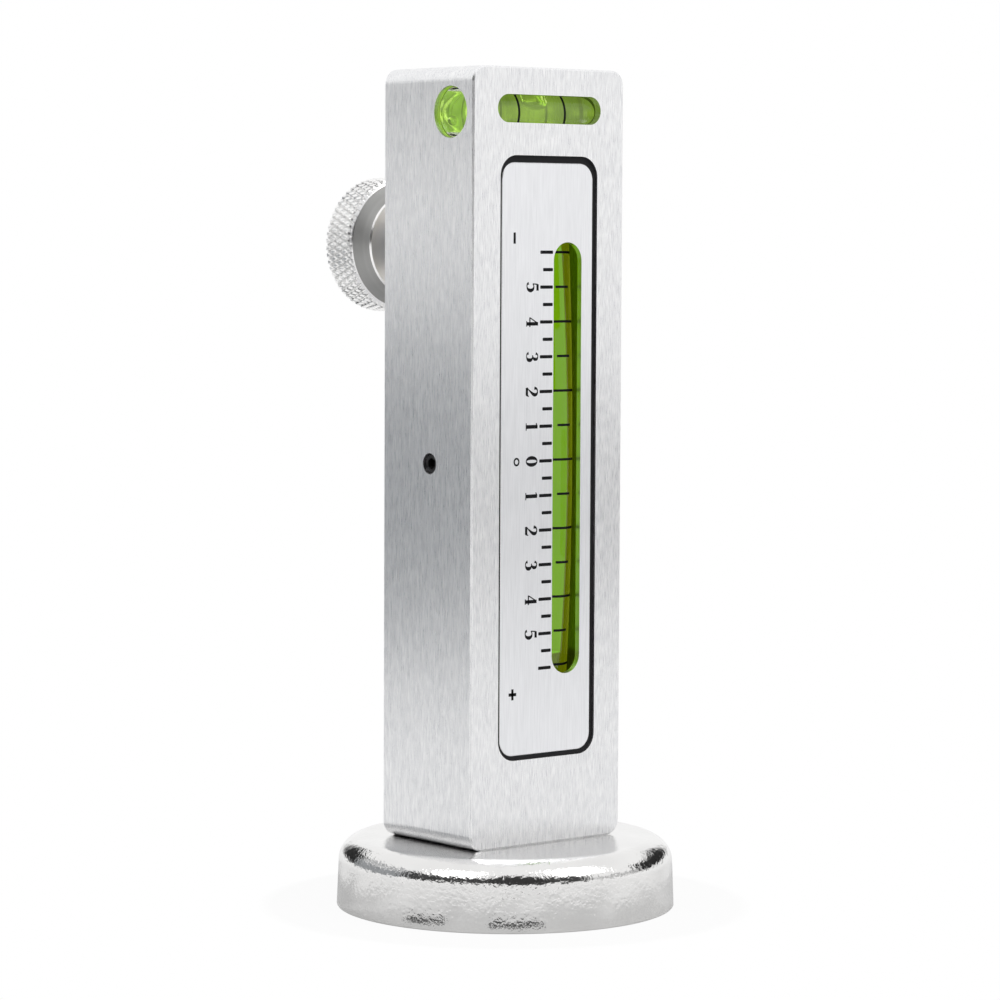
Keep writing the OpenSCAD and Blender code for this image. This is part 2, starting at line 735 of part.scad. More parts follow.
module spring_washer() {
    color("lightsteelblue") in_bar()
        translate([0, hub_end - washer_t - touch_gap, adjuster_rise]) along_depth() difference() {
            cylinder(d = washer_d, h = washer_t);
            translate([0, 0, -cut]) cylinder(r = stem_d / 2 + 3 * run_gap, h = washer_t + 2 * cut);
        }
}

// ---- The level vial ----

// Puts children on the level vial's axis, running along +X from the vial's left end
module on_level() {
    in_bar() translate([-level_vial_len / 2, level_depth, level_z]) along_width() children();
}

module level_vial() {
    color("palegreen", 0.5) on_level() difference() {
        cylinder(d = level_vial_d, h = level_vial_len);
        translate([0, 0, level_plug_len])
            cylinder(r = level_inner_r, h = level_vial_len - level_plug_len + cut);
    }
}

module level_fluid() {
    fluid_len = level_vial_len - 2 * level_plug_len;
    bubble_run = level_bubble_len - 2 * level_bubble_r;
    bubble_up = level_inner_r - seat_gap - level_bubble_r - 0.1;
    color("yellowgreen") on_level() translate([0, 0, level_plug_len]) difference() {
        cylinder(r = level_inner_r - seat_gap, h = fluid_len);
        translate([-bubble_up, 0, fluid_len / 2]) {
            cylinder(r = level_bubble_r, h = bubble_run, center = true);
            for (end = [-1, 1]) translate([0, 0, end * bubble_run / 2]) sphere(level_bubble_r);
        }
    }
}

module level_vial_plug() {
    color("white") on_level() translate([0, 0, level_vial_len - level_plug_len])
        cylinder(r = level_inner_r - seat_gap, h = level_plug_len);
}

// ---- The magnetic base ----

// Half section of the cup's outside or inside: a drafted side and a round top edge
module cup_section(rim_r, top, edge_r) {
    side_top_r = rim_r - cup_draft;
    polygon([[0, 0], [rim_r, 0], [side_top_r, cup_side_h], [0, cup_side_h]]);
    square([side_top_r - edge_r, top]);
    translate([side_top_r - edge_r, cup_side_h]) intersection() {
        circle(edge_r);
        square(edge_r);
    }
}

module base_cup() {
    color("silver") difference() {
        rotate_extrude() cup_section(base_d / 2, base_h, cup_edge_r);
        rotate_extrude() cup_section(base_d / 2 - cup_wall, cup_inner_h, cup_edge_r - cup_wall);
        translate([0, 0, -cut]) cylinder(r = base_screw_d / 2 + screw_play, h = base_h + 2 * cut);
    }
}

module ring_magnet() {
    color("dimgray") difference() {
        translate([0, 0, magnet_sink]) cylinder(d = magnet_d, h = cup_inner_h - magnet_sink);
        translate([0, 0, -cut]) cylinder(d = magnet_hole_d, h = base_h + cut);
    }
}

// Cast resin between the magnet and the cup's side
module magnet_resin() {
    inner_r = magnet_d / 2 + seat_gap;
    rim_r = base_d / 2 - cup_wall - seat_gap;
    drafted_r = rim_r - cup_draft;
    slope = cup_draft / cup_side_h;
    color("darkslategray") rotate_extrude() polygon([
        [inner_r, resin_sink], [rim_r - slope * resin_sink, resin_sink],
        [drafted_r, cup_side_h], [inner_r, cup_side_h]
    ]);
}

module base_screw() {
    color("darkgray") difference() {
        union() {
            translate([0, 0, head_top - base_head_h]) cylinder(d = base_head_d, h = base_head_h);
            translate([0, 0, head_top - 0.1])
                cylinder(d = base_screw_d, h = base_h + base_screw_grip - head_top + 0.1);
        }
        translate([0, 0, head_top - base_head_h]) mirror([0, 0, 1])
            hex_socket(0.75 * base_screw_d, base_head_h / 2 + 0.4);
    }
}

module base_lock_washer() {
    color("darkgray") translate([0, 0, head_top]) difference() {
        cylinder(d = 0.96 * base_head_d, h = lock_washer_t);
        translate([0, 0, -cut])
            cylinder(r = base_screw_d / 2 + screw_play / 3, h = lock_washer_t + 2 * cut);
        translate([base_screw_d / 2, -lock_washer_gap / 2, -cut])
            cube([base_head_d, lock_washer_gap, lock_washer_t + 2 * cut]);
    }
}

echo("least gap of the knob spring to itself", coil_gap(
    (knob_spring_d - knob_spring_wire) / 2, knob_spring_wire,
    knob_spring_end - knob_spring_start - knob_spring_wire, knob_spring_turns
));
echo("least gap of the return spring to itself", coil_gap(
    (return_spring_d - return_spring_wire) / 2, return_spring_wire,
    return_end - return_start - return_spring_wire, return_spring_turns
));

body();
scale_plate();
plate_gasket();
vial_carrier();
camber_vial();
camber_fluid();
camber_vial_plugs();
vial_clips();
clip_screws();
left_pivot_screw();
right_pivot_screw();
return_spring();
adjuster_bush();
adjuster_stem();
thrust_ball();
adjuster_knob();
knob_set_screw();
knob_spring();
spring_washer();
level_vial();
level_fluid();
level_vial_plug();
base_cup();
ring_magnet();
magnet_resin();
base_screw();
base_lock_washer();
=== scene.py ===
import math

import bmesh
import bpy
from mathutils import Matrix, Vector


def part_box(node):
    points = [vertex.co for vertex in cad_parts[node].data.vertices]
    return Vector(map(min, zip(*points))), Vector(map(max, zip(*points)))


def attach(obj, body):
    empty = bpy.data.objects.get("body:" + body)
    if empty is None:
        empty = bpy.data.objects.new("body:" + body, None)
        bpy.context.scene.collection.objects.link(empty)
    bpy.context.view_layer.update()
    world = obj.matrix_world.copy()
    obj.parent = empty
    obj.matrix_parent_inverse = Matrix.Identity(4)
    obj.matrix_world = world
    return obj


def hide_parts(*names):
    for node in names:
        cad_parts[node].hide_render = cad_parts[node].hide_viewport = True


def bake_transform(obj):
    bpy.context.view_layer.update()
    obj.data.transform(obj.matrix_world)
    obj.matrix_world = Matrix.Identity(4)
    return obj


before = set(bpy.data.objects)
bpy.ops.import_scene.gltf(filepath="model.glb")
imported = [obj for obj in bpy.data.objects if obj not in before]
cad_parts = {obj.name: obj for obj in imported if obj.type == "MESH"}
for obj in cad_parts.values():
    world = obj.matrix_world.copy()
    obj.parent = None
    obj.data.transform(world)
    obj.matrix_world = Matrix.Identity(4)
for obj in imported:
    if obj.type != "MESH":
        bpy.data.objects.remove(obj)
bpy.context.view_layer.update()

mm = 0.001


# ---- Camera ----
# A long lens a little above the bar's middle, to the left of the scale face, so that the
# scale, the left side with its screw and the rim of the knob all show.

camera_azimuth = math.radians(-39.889)
camera_height = math.radians(4.039)
camera_roll = math.radians(0.275)
camera_distance = 719 * mm
camera_aim = Vector((-1.821 * mm, 0, 79.8 * mm))

towards_camera = Vector((
    math.sin(camera_azimuth) * math.cos(camera_height),
    -math.cos(camera_azimuth) * math.cos(camera_height),
    math.sin(camera_height),
))
level_right = Vector((0, 0, 1)).cross(towards_camera).normalized()
level_up = towards_camera.cross(level_right)
rolled_right = level_right * math.cos(camera_roll) + level_up * math.sin(camera_roll)
rolled_up = level_up * math.cos(camera_roll) - level_right * math.sin(camera_roll)

lens = bpy.data.cameras.new("Lens")
lens.lens = 132.35
lens.sensor_width = 36
lens.clip_start = 0.01
lens.clip_end = 20
camera = bpy.data.objects.new("Camera", lens)
bpy.context.scene.collection.objects.link(camera)
camera.matrix_world = Matrix.Translation(camera_aim + towards_camera * camera_distance) @ Matrix((
    rolled_right, rolled_up, towards_camera
)).transposed().to_4x4()
bpy.context.scene.camera = camera
bpy.context.scene.view_settings.view_transform = "Standard"


# ---- Studio ----
# A white table with a white surround, one large soft lamp to the front right and a weaker one
# to the left. Grey cards, unseen by the camera, stand for what the bright metal mirrors of a room.
# Two dark slips on the table, unseen by the camera, and the table's glow, lower close to the gauge
# for metal and glass, are painted shade for the gauge's shadow that the metal mirrors.

def node(tree, kind, inputs=None, **settings):
    made = tree.nodes.new("ShaderNode" + kind)
    for setting, value in settings.items():
        setattr(made, setting, value)
    for socket, value in (inputs or {}).items():
        if isinstance(value, bpy.types.NodeSocket):
            tree.links.new(value, made.inputs[socket])
        else:
            made.inputs[socket].default_value = value
    return made


def calc(tree, operation, *values, clamp=False):
    made = node(tree, "Math", operation=operation, use_clamp=clamp)
    for socket, value in zip(made.inputs, values):
        if isinstance(value, bpy.types.NodeSocket):
            tree.links.new(value, socket)
        else:
            socket.default_value = value
    return made.outputs[0]


def seen_directly(tree):
    path = node(tree, "LightPath")
    glossy = calc(tree, "MAXIMUM", path.outputs["Is Camera Ray"], path.outputs["Is Glossy Ray"])
    return calc(tree, "MAXIMUM", glossy, path.outputs["Is Transmission Ray"])


surround = bpy.data.worlds.new("White surround")
bpy.context.scene.world = surround
surround.use_nodes = True
air = surround.node_tree
fill_level = 0.55
strength = calc(air, "MULTIPLY_ADD", seen_directly(air), 1 - fill_level, fill_level)
air.nodes["Background"].inputs["Color"].default_value = (1, 1, 1, 1)
air.links.new(strength, air.nodes["Background"].inputs["Strength"])


def stage_panel(name, corners, faces, material):
    mesh = bpy.data.meshes.new(name)
    mesh.from_pydata(corners, [], faces)
    mesh.materials.append(material)
    panel = bpy.data.objects.new(name, mesh)
    bpy.context.scene.collection.objects.link(panel)
    return panel


# Painted shade: the table glows white to the camera, but metal and glass see its glow lower close to the
# gauge, in soft patches, for the gauge's shadow that they mirror.
table_white = bpy.data.materials.new("White table")
table_white.use_nodes = True
tree = table_white.node_tree
painted_shadow_glow = 0.12
camera_glow = 0.82
near_glow = 0.58
far_glow = 0.30
shade_unrest = 0.12
place = node(tree, "NewGeometry").outputs["Position"]
away = node(tree, "VectorMath", {0: place}, operation="LENGTH").outputs["Value"]
painted_shadow_patches = node(tree, "TexNoise", {"Vector": place, "Scale": 45.0, "Detail": 1.0})
by_camera = node(tree, "LightPath").outputs["Is Camera Ray"]
unrest = calc(tree, "MULTIPLY", calc(tree, "SUBTRACT", 1.0, by_camera), shade_unrest)
reach = calc(tree, "MULTIPLY_ADD", calc(tree, "SUBTRACT", painted_shadow_patches.outputs["Fac"], 0.5), unrest, away)
near = node(tree, "MapRange", {"Value": reach, "From Min": 0.046, "From Max": 0.074}).outputs["Result"]
far = node(tree, "MapRange", {"Value": away, "From Min": 0.06, "From Max": 0.30}).outputs["Result"]
level = calc(tree, "MULTIPLY_ADD", by_camera, camera_glow, painted_shadow_glow)
level = calc(tree, "MULTIPLY_ADD", near, near_glow, level)
level = calc(tree, "MULTIPLY_ADD", far, far_glow, level)
painted_glow = calc(tree, "MULTIPLY", seen_directly(tree), calc(tree, "MINIMUM", level, 1.0))
paper = node(tree, "BsdfDiffuse", {"Color": (0.86, 0.86, 0.86, 1)})
white = node(tree, "Emission", {"Color": (1, 1, 1, 1), "Strength": 1.0})
mixed = node(tree, "MixShader", {0: painted_glow, 1: paper.outputs[0], 2: white.outputs[0]})
tree.links.new(mixed.outputs[0], tree.nodes["Material Output"].inputs["Surface"])

table_half = 2.5
table_z = -0.02 * mm
stage_panel("table", [
    (-table_half, -table_half, table_z), (table_half, -table_half, table_z),
    (table_half, table_half, table_z), (-table_half, table_half, table_z),
], [(0, 1, 2, 3)], table_white)


def screen(name, distance, azimuths, heights, grey, tint=0.0):
    """An upright card bent round the gauge and hidden from the camera. Azimuths are in degrees from
    the front, positive to the right."""
    card = bpy.data.materials.new(name)
    card.use_nodes = True
    shader = card.node_tree.nodes["Principled BSDF"]
    shader.inputs["Base Color"].default_value = (grey - tint, grey, grey + tint, 1)
    shader.inputs["Roughness"].default_value = 1
    bends = 12
    corners, faces = [], []
    for i in range(bends + 1):
        turn = math.radians(azimuths[0] + (azimuths[1] - azimuths[0]) * i / bends)
        for height in heights:
            corners.append((distance * math.sin(turn), -distance * math.cos(turn), height))
        if i:
            faces.append((2 * i - 2, 2 * i, 2 * i + 1, 2 * i - 1))
    stage_panel(name, corners, faces, card).visible_camera = False


screen("left_screen", 0.28, (-162, -112), (0.018, 0.112), 0.59, 0.02)
screen("left_upper_screen", 0.34, (-162, -112), (0.155, 0.215), 0.80, 0.01)
screen("back_left_screen", 0.40, (-195, -164), (0.03, 0.22), 0.04)
screen("front_screen", 0.28, (20, 60), (0.034, 0.084), 0.96)
screen("camera_screen", 2.00, (-118, 20), (0.20, 1.15), 0.12)
screen("camera_flag", 1.90, (-48, -12), (0.09, 1.70), 0.08)
screen("right_screen", 0.70, (64, 116), (0.08, 0.36), 0.04)


def dark_slip(name, middle, half_deep, half_wide):
    """Painted shade: a small dark slip that lies on the table, mirrored only in the cup's side, for the
    gauge's shadow there.
    """
    slip_shade = bpy.data.materials.new(name)
    slip_shade.use_nodes = True
    shader = slip_shade.node_tree.nodes["Principled BSDF"]
    shader.inputs["Base Color"].default_value = (0.05, 0.05, 0.05, 1)
    shader.inputs["Roughness"].default_value = 1
    centre = Vector((*middle, 0.1 * mm))
    deep = Vector((*middle, 0)).normalized() * half_deep
    wide = Vector((-deep.y, deep.x, 0)).normalized() * half_wide
    corners = [centre - deep - wide, centre + deep - wide, centre + deep + wide, centre - deep + wide]
    slip = stage_panel(name, corners, [(0, 1, 2, 3)], slip_shade)
    slip.visible_camera = slip.visible_shadow = slip.visible_diffuse = False


dark_slip("left_shadow_slip", (-37.7 * mm, -11.7 * mm), 1.8 * mm, 6 * mm)
dark_slip("front_shadow_slip", (-23.1 * mm, -32.0 * mm), 2.0 * mm, 7 * mm)


def soft_lamp(name, middle, width, height, watts):
    lamp = bpy.data.lights.new(name, "AREA")
    lamp.shape = "RECTANGLE"
    lamp.size, lamp.size_y = width, height
    lamp.energy = watts
    holder = bpy.data.objects.new(name, lamp)
    bpy.context.scene.collection.objects.link(holder)
    holder.location = middle
    holder.rotation_euler = (Vector((0, 0, 0.08)) - Vector(middle)).to_track_quat("-Z", "Y").to_euler()


soft_lamp("front_lamp", (0.35, -0.85, 0.95), 0.7, 0.7, 3.5)
soft_lamp("left_lamp", (-0.85, -0.15, 0.85), 0.5, 0.5, 2.0)


# ---- Pot magnet cup ----
# A deep-drawn steel cup, bright nickel plated over a surface that the press left a little
# rippled. The base screw runs through its middle and pulls it against the bar.

def skin(name, rings, round_trip=False):
    """A closed skin over rings of points; the ends are capped unless the last ring meets the first."""
    count = len(rings[0])
    verts = [point for ring in rings for point in ring]
    faces = []
    for i in range(len(rings) if round_trip else len(rings) - 1):
        a, b = i * count, (i + 1) % len(rings) * count
        for k in range(count):
            j = (k + 1) % count
            faces.append((a + k, b + k, b + j, a + j))
    if not round_trip:
        faces.append(tuple(range(count)))
        faces.append(tuple(reversed(range(len(verts) - count, len(verts)))))
    mesh = bpy.data.meshes.new(name)
    mesh.from_pydata(verts, [], faces)
    made = bpy.data.objects.new(name, mesh)
    bpy.context.scene.collection.objects.link(made)
    return made


def weld_and_smooth(made, crease_degrees=28):
    work = bmesh.new()
    work.from_mesh(made.data)
    bmesh.ops.remove_doubles(work, verts=work.verts, dist=1e-7)
    bmesh.ops.dissolve_degenerate(work, edges=work.edges, dist=1e-8)
    bmesh.ops.recalc_face_normals(work, faces=work.faces)
    work.to_mesh(made.data)
    work.free()
    made.data.shade_smooth()
    made.data.set_sharp_from_angle(angle=math.radians(crease_degrees))
    return made


def arc(centre, radius, start, end, steps):
    """Points of an arc in a section, angles in degrees from the outward direction."""
    turn = [math.radians(start + (end - start) * i / steps) for i in range(steps + 1)]
    return [(centre[0] + radius * math.cos(t), centre[1] + radius * math.sin(t)) for t in turn]


def turned(name, section, sides, place=Matrix.Identity(4)):
    """Turns a closed section of (radius, height) points round the Z axis, then puts it in place."""
    rings = []
    for i in range(sides):
        t = 2 * math.pi * i / sides
        rings.append([place @ Vector((r * math.cos(t), r * math.sin(t), h)) for r, h in section])
    return weld_and_smooth(skin(name, rings, round_trip=True))


def dress(made, material, body, slot, *nodes):
    made.data.materials.clear()
    made.data.materials.append(material)
    if body:
        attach(made, body)
    if nodes:
        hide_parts(*nodes)
    return made


def node_group(name, inputs, outputs):
    tree = bpy.data.node_groups.new(name, "ShaderNodeTree")
    for socket, value in inputs.items():
        kind = "NodeSocketVector" if value is None else "NodeSocketFloat"
        made = tree.interface.new_socket(socket, in_out="INPUT", socket_type=kind)
        if value is not None:
            made.default_value = value
    for socket in outputs:
        tree.interface.new_socket(socket, in_out="OUTPUT", socket_type="NodeSocketFloat")
    return tree, tree.nodes.new("NodeGroupInput").outputs, tree.nodes.new("NodeGroupOutput").inputs


def scaled(tree, vector, factors):
    return node(tree, "VectorMath", {0: vector, 1: factors}, operation="MULTIPLY").outputs[0]


def ripple_group():
    """The long soft ripple and the fine pitting of a plated pressing."""
    tree, given, out = node_group(
        "Pressed ripple", {"Ripple size": 2.2, "Pit size": 0.45, "Pit share": 0.25}, ["Height", "Haze"]
    )
    coords = node(tree, "TexCoord").outputs["Object"]
    long_scale = calc(tree, "DIVIDE", 1000, given["Ripple size"])
    pit_scale = calc(tree, "DIVIDE", 1000, given["Pit size"])
    long = node(tree, "TexNoise", {"Vector": coords, "Scale": long_scale, "Detail": 1.0})
    pits = node(tree, "TexNoise", {"Vector": coords, "Scale": pit_scale, "Detail": 2.0})
    haze = node(tree, "TexNoise", {"Vector": coords, "Scale": 90.0, "Detail": 3.0})
    share = calc(tree, "MULTIPLY", pits.outputs["Fac"], given["Pit share"])
    tree.links.new(calc(tree, "ADD", long.outputs["Fac"], share), out["Height"])
    tree.links.new(haze.outputs["Fac"], out["Haze"])
    return tree


pressed_ripple = ripple_group()


def new_finish(name, **sockets):
    """A new material, with its node tree and its shader's sockets to be linked."""
    made = bpy.data.materials.new(name)
    made.use_nodes = True
    shader = made.node_tree.nodes["Principled BSDF"]
    for socket, value in sockets.items():
        shader.inputs[socket.replace("_", " ")].default_value = value
    return made, made.node_tree, shader.inputs


def mix_colour(tree, share, low, high):
    made = node(tree, "Mix", data_type="RGBA")
    for socket, value in ((made.inputs[0], share), (made.inputs[6], low), (made.inputs[7], high)):
        if isinstance(value, bpy.types.NodeSocket):
            tree.links.new(value, socket)
        else:
            socket.default_value = value
    return made.outputs[2]


def spread(tree, value, low, high):
    """Maps a mask from 0 to 1 onto a range."""
    return calc(tree, "MULTIPLY_ADD", value, high - low, low)


def bump(tree, height, depth):
    return node(tree, "Bump", {"Height": height, "Distance": depth, "Strength": 1.0}).outputs[0]


nickel, tree, sockets = new_finish("Bright nickel", Metallic=1.0)
ripple = node(
    tree, "Group", {"Ripple size": 0.9, "Pit size": 0.36, "Pit share": 0.45}, node_tree=pressed_ripple
)
haze = ripple.outputs["Haze"]
plating = mix_colour(tree, haze, (0.72, 0.715, 0.71, 1), (0.90, 0.895, 0.885, 1))
tree.links.new(plating, sockets["Base Color"])
tree.links.new(spread(tree, haze, 0.03, 0.09), sockets["Roughness"])
tree.links.new(bump(tree, ripple.outputs["Height"], 0.075 * mm), sockets["Normal"])

cup_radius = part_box("base_cup")[1].x
cup_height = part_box("base_cup")[1].z
cup_wall = 2.4 * mm
cup_edge = 4.7 * mm
cup_draft = 0.35 * mm
cup_hole = 3.3 * mm
cup_lip = 0.35 * mm
hole_bevel = 0.3 * mm
rim_bevel = 0.2 * mm
side_top = cup_height - cup_edge
outer_bend = arc((cup_radius - cup_draft - cup_edge, side_top), cup_edge, 0, 90, 20)
inner_bend = arc((cup_radius - cup_draft - cup_edge, side_top), cup_edge - cup_wall, 90, 0, 12)
cup_section = (
    arc((cup_radius - cup_lip, cup_lip), cup_lip, -90, 0, 6)
    + outer_bend
    + [(cup_hole + hole_bevel, cup_height), (cup_hole, cup_height - hole_bevel)]
    + [(cup_hole, cup_height - cup_wall)]
    + inner_bend
    + [(cup_radius - cup_wall, rim_bevel), (cup_radius - cup_wall + rim_bevel, 0)]
)
base_cup = turned("base_cup_pressing", cup_section, 256)
dress(base_cup, nickel, "bar", "base_cup", "base_cup")


# ---- Ring magnet, resin and base screw ----
# A ground ferrite ring, set in black cast resin, with the socket screw and its split washer
# in the hole. Only the grinding marks and the resin's slight shrinkage show from below.

def grain_group():
    """Straight lines left by a belt or a wheel: they run along Z, or along X on faces that lie flat."""
    tree, given, out = node_group(
        "Brushed lines", {"Line width": 0.2, "Line length": 30.0, "Band width": 2.5}, ["Line", "Band"]
    )
    at = node(tree, "TexCoord")
    split = node(tree, "SeparateXYZ", {0: at.outputs["Object"]})
    facing = node(tree, "SeparateXYZ", {0: at.outputs["Normal"]})
    flat = calc(tree, "GREATER_THAN", calc(tree, "ABSOLUTE", facing.outputs[2]), 0.75)
    x, y, z = split.outputs
    run = node(tree, "Mix", {0: flat, 2: z, 3: x}).outputs[0]
    side = node(tree, "Mix", {0: flat, 2: x, 3: z}).outputs[0]
    per_line = calc(tree, "DIVIDE", 1000, given["Line width"])
    per_run = calc(tree, "DIVIDE", 1000, given["Line length"])
    per_band = calc(tree, "DIVIDE", 1000, given["Band width"])
    for scale, socket in ((per_line, "Line"), (per_band, "Band")):
        lines = node(tree, "CombineXYZ", {
            0: calc(tree, "MULTIPLY", side, scale),
            1: calc(tree, "MULTIPLY", y, scale),
            2: calc(tree, "MULTIPLY", run, per_run),
        }).outputs[0]
        noise = node(tree, "TexNoise", {"Vector": lines, "Scale": 1.0, "Detail": 3.0})
        tree.links.new(noise.outputs["Fac"], out[socket])
    return tree


brushed_lines = grain_group()

ferrite, tree, sockets = new_finish("Ground ferrite", Metallic=0.0)
lines = node(
    tree, "Group", {"Line width": 0.3, "Line length": 20.0, "Band width": 3.0}, node_tree=brushed_lines
)
ground = mix_colour(tree, lines.outputs["Band"], (0.035, 0.035, 0.038, 1), (0.09, 0.09, 0.095, 1))
tree.links.new(ground, sockets["Base Color"])
tree.links.new(spread(tree, lines.outputs["Line"], 0.35, 0.6), sockets["Roughness"])
tree.links.new(bump(tree, lines.outputs["Line"], 0.02 * mm), sockets["Normal"])


def mottled(name, dark, light, rough, scale, depth, detail=3.0, **settings):
    """A finish whose colour, gloss and height all follow one fine mottle."""
    made, tree, sockets = new_finish(name, **settings)
    coords = node(tree, "TexCoord").outputs["Object"]
    mottle = node(tree, "TexNoise", {"Vector": coords, "Scale": scale, "Detail": detail}).outputs["Fac"]
    tree.links.new(mix_colour(tree, mottle, dark, light), sockets["Base Color"])
    tree.links.new(spread(tree, mottle, *rough), sockets["Roughness"])
    tree.links.new(bump(tree, mottle, depth * mm), sockets["Normal"])
    return made


resin = mottled(
    "Cast resin", (0.012, 0.012, 0.014, 1), (0.03, 0.03, 0.033, 1), (0.15, 0.4), 220.0, 0.15, Metallic=0.0
)


def turning_group():
    """Fine rings that a lathe tool leaves round the Z axis of the place it is given."""
    tree, given, out = node_group("Turning marks", {"Place": None, "Ring width": 0.12}, ["Ring", "Band"])
    split = node(tree, "SeparateXYZ", {0: given["Place"]})
    x, y, z = split.outputs
    squares = calc(tree, "MULTIPLY_ADD", x, x, calc(tree, "MULTIPLY", y, y))
    off_axis = calc(tree, "SQRT", squares)
    per_ring = calc(tree, "DIVIDE", 1000, given["Ring width"])
    for scale, socket in ((per_ring, "Ring"), (calc(tree, "MULTIPLY", per_ring, 0.1), "Band")):
        rings = node(tree, "CombineXYZ", {
            0: calc(tree, "MULTIPLY", off_axis, scale), 1: calc(tree, "MULTIPLY", z, scale)
        }).outputs[0]
        noise = node(tree, "TexNoise", {"Vector": rings, "Scale": 1.0, "Detail": 1.0})
        tree.links.new(noise.outputs["Fac"], out[socket])
    return tree


turning_marks = turning_group()


def turned_metal(name, dark, light, rough, place_from=(0, 0, 0), turn=(0, 0, 0), ring=0.12, depth=0.01):
    """Metal off the lathe: rings round an axis through place_from, turned so that it runs along Z."""
    made, tree, sockets = new_finish(name, Metallic=1.0)
    coords = node(tree, "TexCoord").outputs["Object"]
    centred = node(tree, "VectorMath", {0: coords, 1: place_from}, operation="SUBTRACT").outputs[0]
    place = node(tree, "VectorRotate", {"Vector": centred, "Rotation": turn}, rotation_type="EULER_XYZ")
    marks = node(tree, "Group", {"Place": place.outputs[0], "Ring width": ring}, node_tree=turning_marks)
    tree.links.new(mix_colour(tree, marks.outputs["Band"], dark, light), sockets["Base Color"])
    tree.links.new(spread(tree, marks.outputs["Ring"], *rough), sockets["Roughness"])
    tree.links.new(bump(tree, marks.outputs["Ring"], depth * mm), sockets["Normal"])
    return made


zinc = turned_metal("Zinc plated steel", (0.50, 0.51, 0.53, 1), (0.62, 0.63, 0.65, 1), (0.25, 0.4))


def refinish(name, material):
    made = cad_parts[name]
    made.data.materials.clear()
    made.data.materials.append(material)


refinish("ring_magnet", ferrite)
refinish("magnet_resin", resin)
refinish("base_screw", zinc)
refinish("base_lock_washer", zinc)


# ---- Bar ----
# A sawn length of flat aluminium bar, milled out behind the plate and then linished on a belt
# along its length, so that fine straight lines run up every side and its edges shine. The edges'
# lighter colour is a painted highlight, and painted shade darkens the pocket and the cross bore.

def edge_group():
    """1 on an outside or inside edge, 0 on a flat face."""
    tree, given, out = node_group("Edge", {"Width": 0.3}, ["Edge"])
    soft = node(tree, "Bevel", {"Radius": calc(tree, "MULTIPLY", given["Width"], mm)}, samples=4)
    flat = node(tree, "NewGeometry").outputs["Normal"]
    agree = node(tree, "VectorMath", {0: soft.outputs[0], 1: flat}, operation="DOT_PRODUCT")
    tree.links.new(calc(tree, "MULTIPLY_ADD", agree.outputs["Value"], -4.0, 4.0, clamp=True), out["Edge"])
    return tree


edge_mask = edge_group()


def inside_group():
    """1 inside a box given by its two corners, 0 on it and outside."""
    tree, given, out = node_group("Inside box", {"Low": None, "High": None}, ["Inside"])
    at = node(tree, "SeparateXYZ", {0: node(tree, "TexCoord").outputs["Object"]}).outputs
    low = node(tree, "SeparateXYZ", {0: given["Low"]}).outputs
    high = node(tree, "SeparateXYZ", {0: given["High"]}).outputs
    inside = None
    for axis in range(3):
        above = calc(tree, "GREATER_THAN", at[axis], low[axis])
        below = calc(tree, "LESS_THAN", at[axis], high[axis])
        both = calc(tree, "MULTIPLY", above, below)
        inside = calc(tree, "MULTIPLY", inside, both) if inside else both
    tree.links.new(inside, out["Inside"])
    return tree


inside_box = inside_group()
pocket_shade_dark = (0.16, 0.17, 0.12, 1)
pocket_shade_light = (0.26, 0.27, 0.20, 1)
edge_highlight_gain = 1.12
burnish_gloss = 0.7


def brushed_metal(
    name, dark, light, rough, line=0.2, length=30.0, band=2.5, depth=0.006, edge=0.25, shade_boxes=()
):
    """Brushed metal with burnished edges, glossier and lighter, the lighter colour a painted highlight;
    painted shade makes it dark olive inside each box given by two corners.
    """
    made, tree, sockets = new_finish(name, Metallic=1.0)
    widths = {"Line width": line, "Line length": length, "Band width": band}
    lines = node(tree, "Group", widths, node_tree=brushed_lines).outputs
    worn_and_highlit = node(tree, "Group", {"Width": edge}, node_tree=edge_mask).outputs["Edge"]
    both = calc(tree, "MULTIPLY_ADD", lines["Line"], 0.8, calc(tree, "MULTIPLY", lines["Band"], 0.2))
    tone = node(tree, "MapRange", {"Value": both, "From Min": 0.35, "From Max": 0.65}).outputs["Result"]
    # Painted highlight: edges take a lighter colour; their lower roughness below is the real burnish.
    edge_highlight = tuple(min(1.0, c * edge_highlight_gain) for c in light[:3]) + (1,)
    surface = mix_colour(tree, worn_and_highlit, mix_colour(tree, tone, dark, light), edge_highlight)
    # Painted shade: inside each box the colour turns dark olive.
    for low, high in shade_boxes:
        inside = node(tree, "Group", {"Low": low, "High": high}, node_tree=inside_box).outputs["Inside"]
        surface = mix_colour(tree, inside, surface, mix_colour(tree, tone, pocket_shade_dark, pocket_shade_light))
    tree.links.new(surface, sockets["Base Color"])
    burnished = calc(tree, "MULTIPLY_ADD", worn_and_highlit, -burnish_gloss, 1.0)
    gloss = calc(tree, "MULTIPLY", spread(tree, lines["Line"], *rough), burnished)
    tree.links.new(gloss, sockets["Roughness"])
    tree.links.new(bump(tree, lines["Line"], depth * mm), sockets["Normal"])
    return made


bar_low, bar_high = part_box("body")
bar_middle = (bar_low.z + bar_high.z) / 2

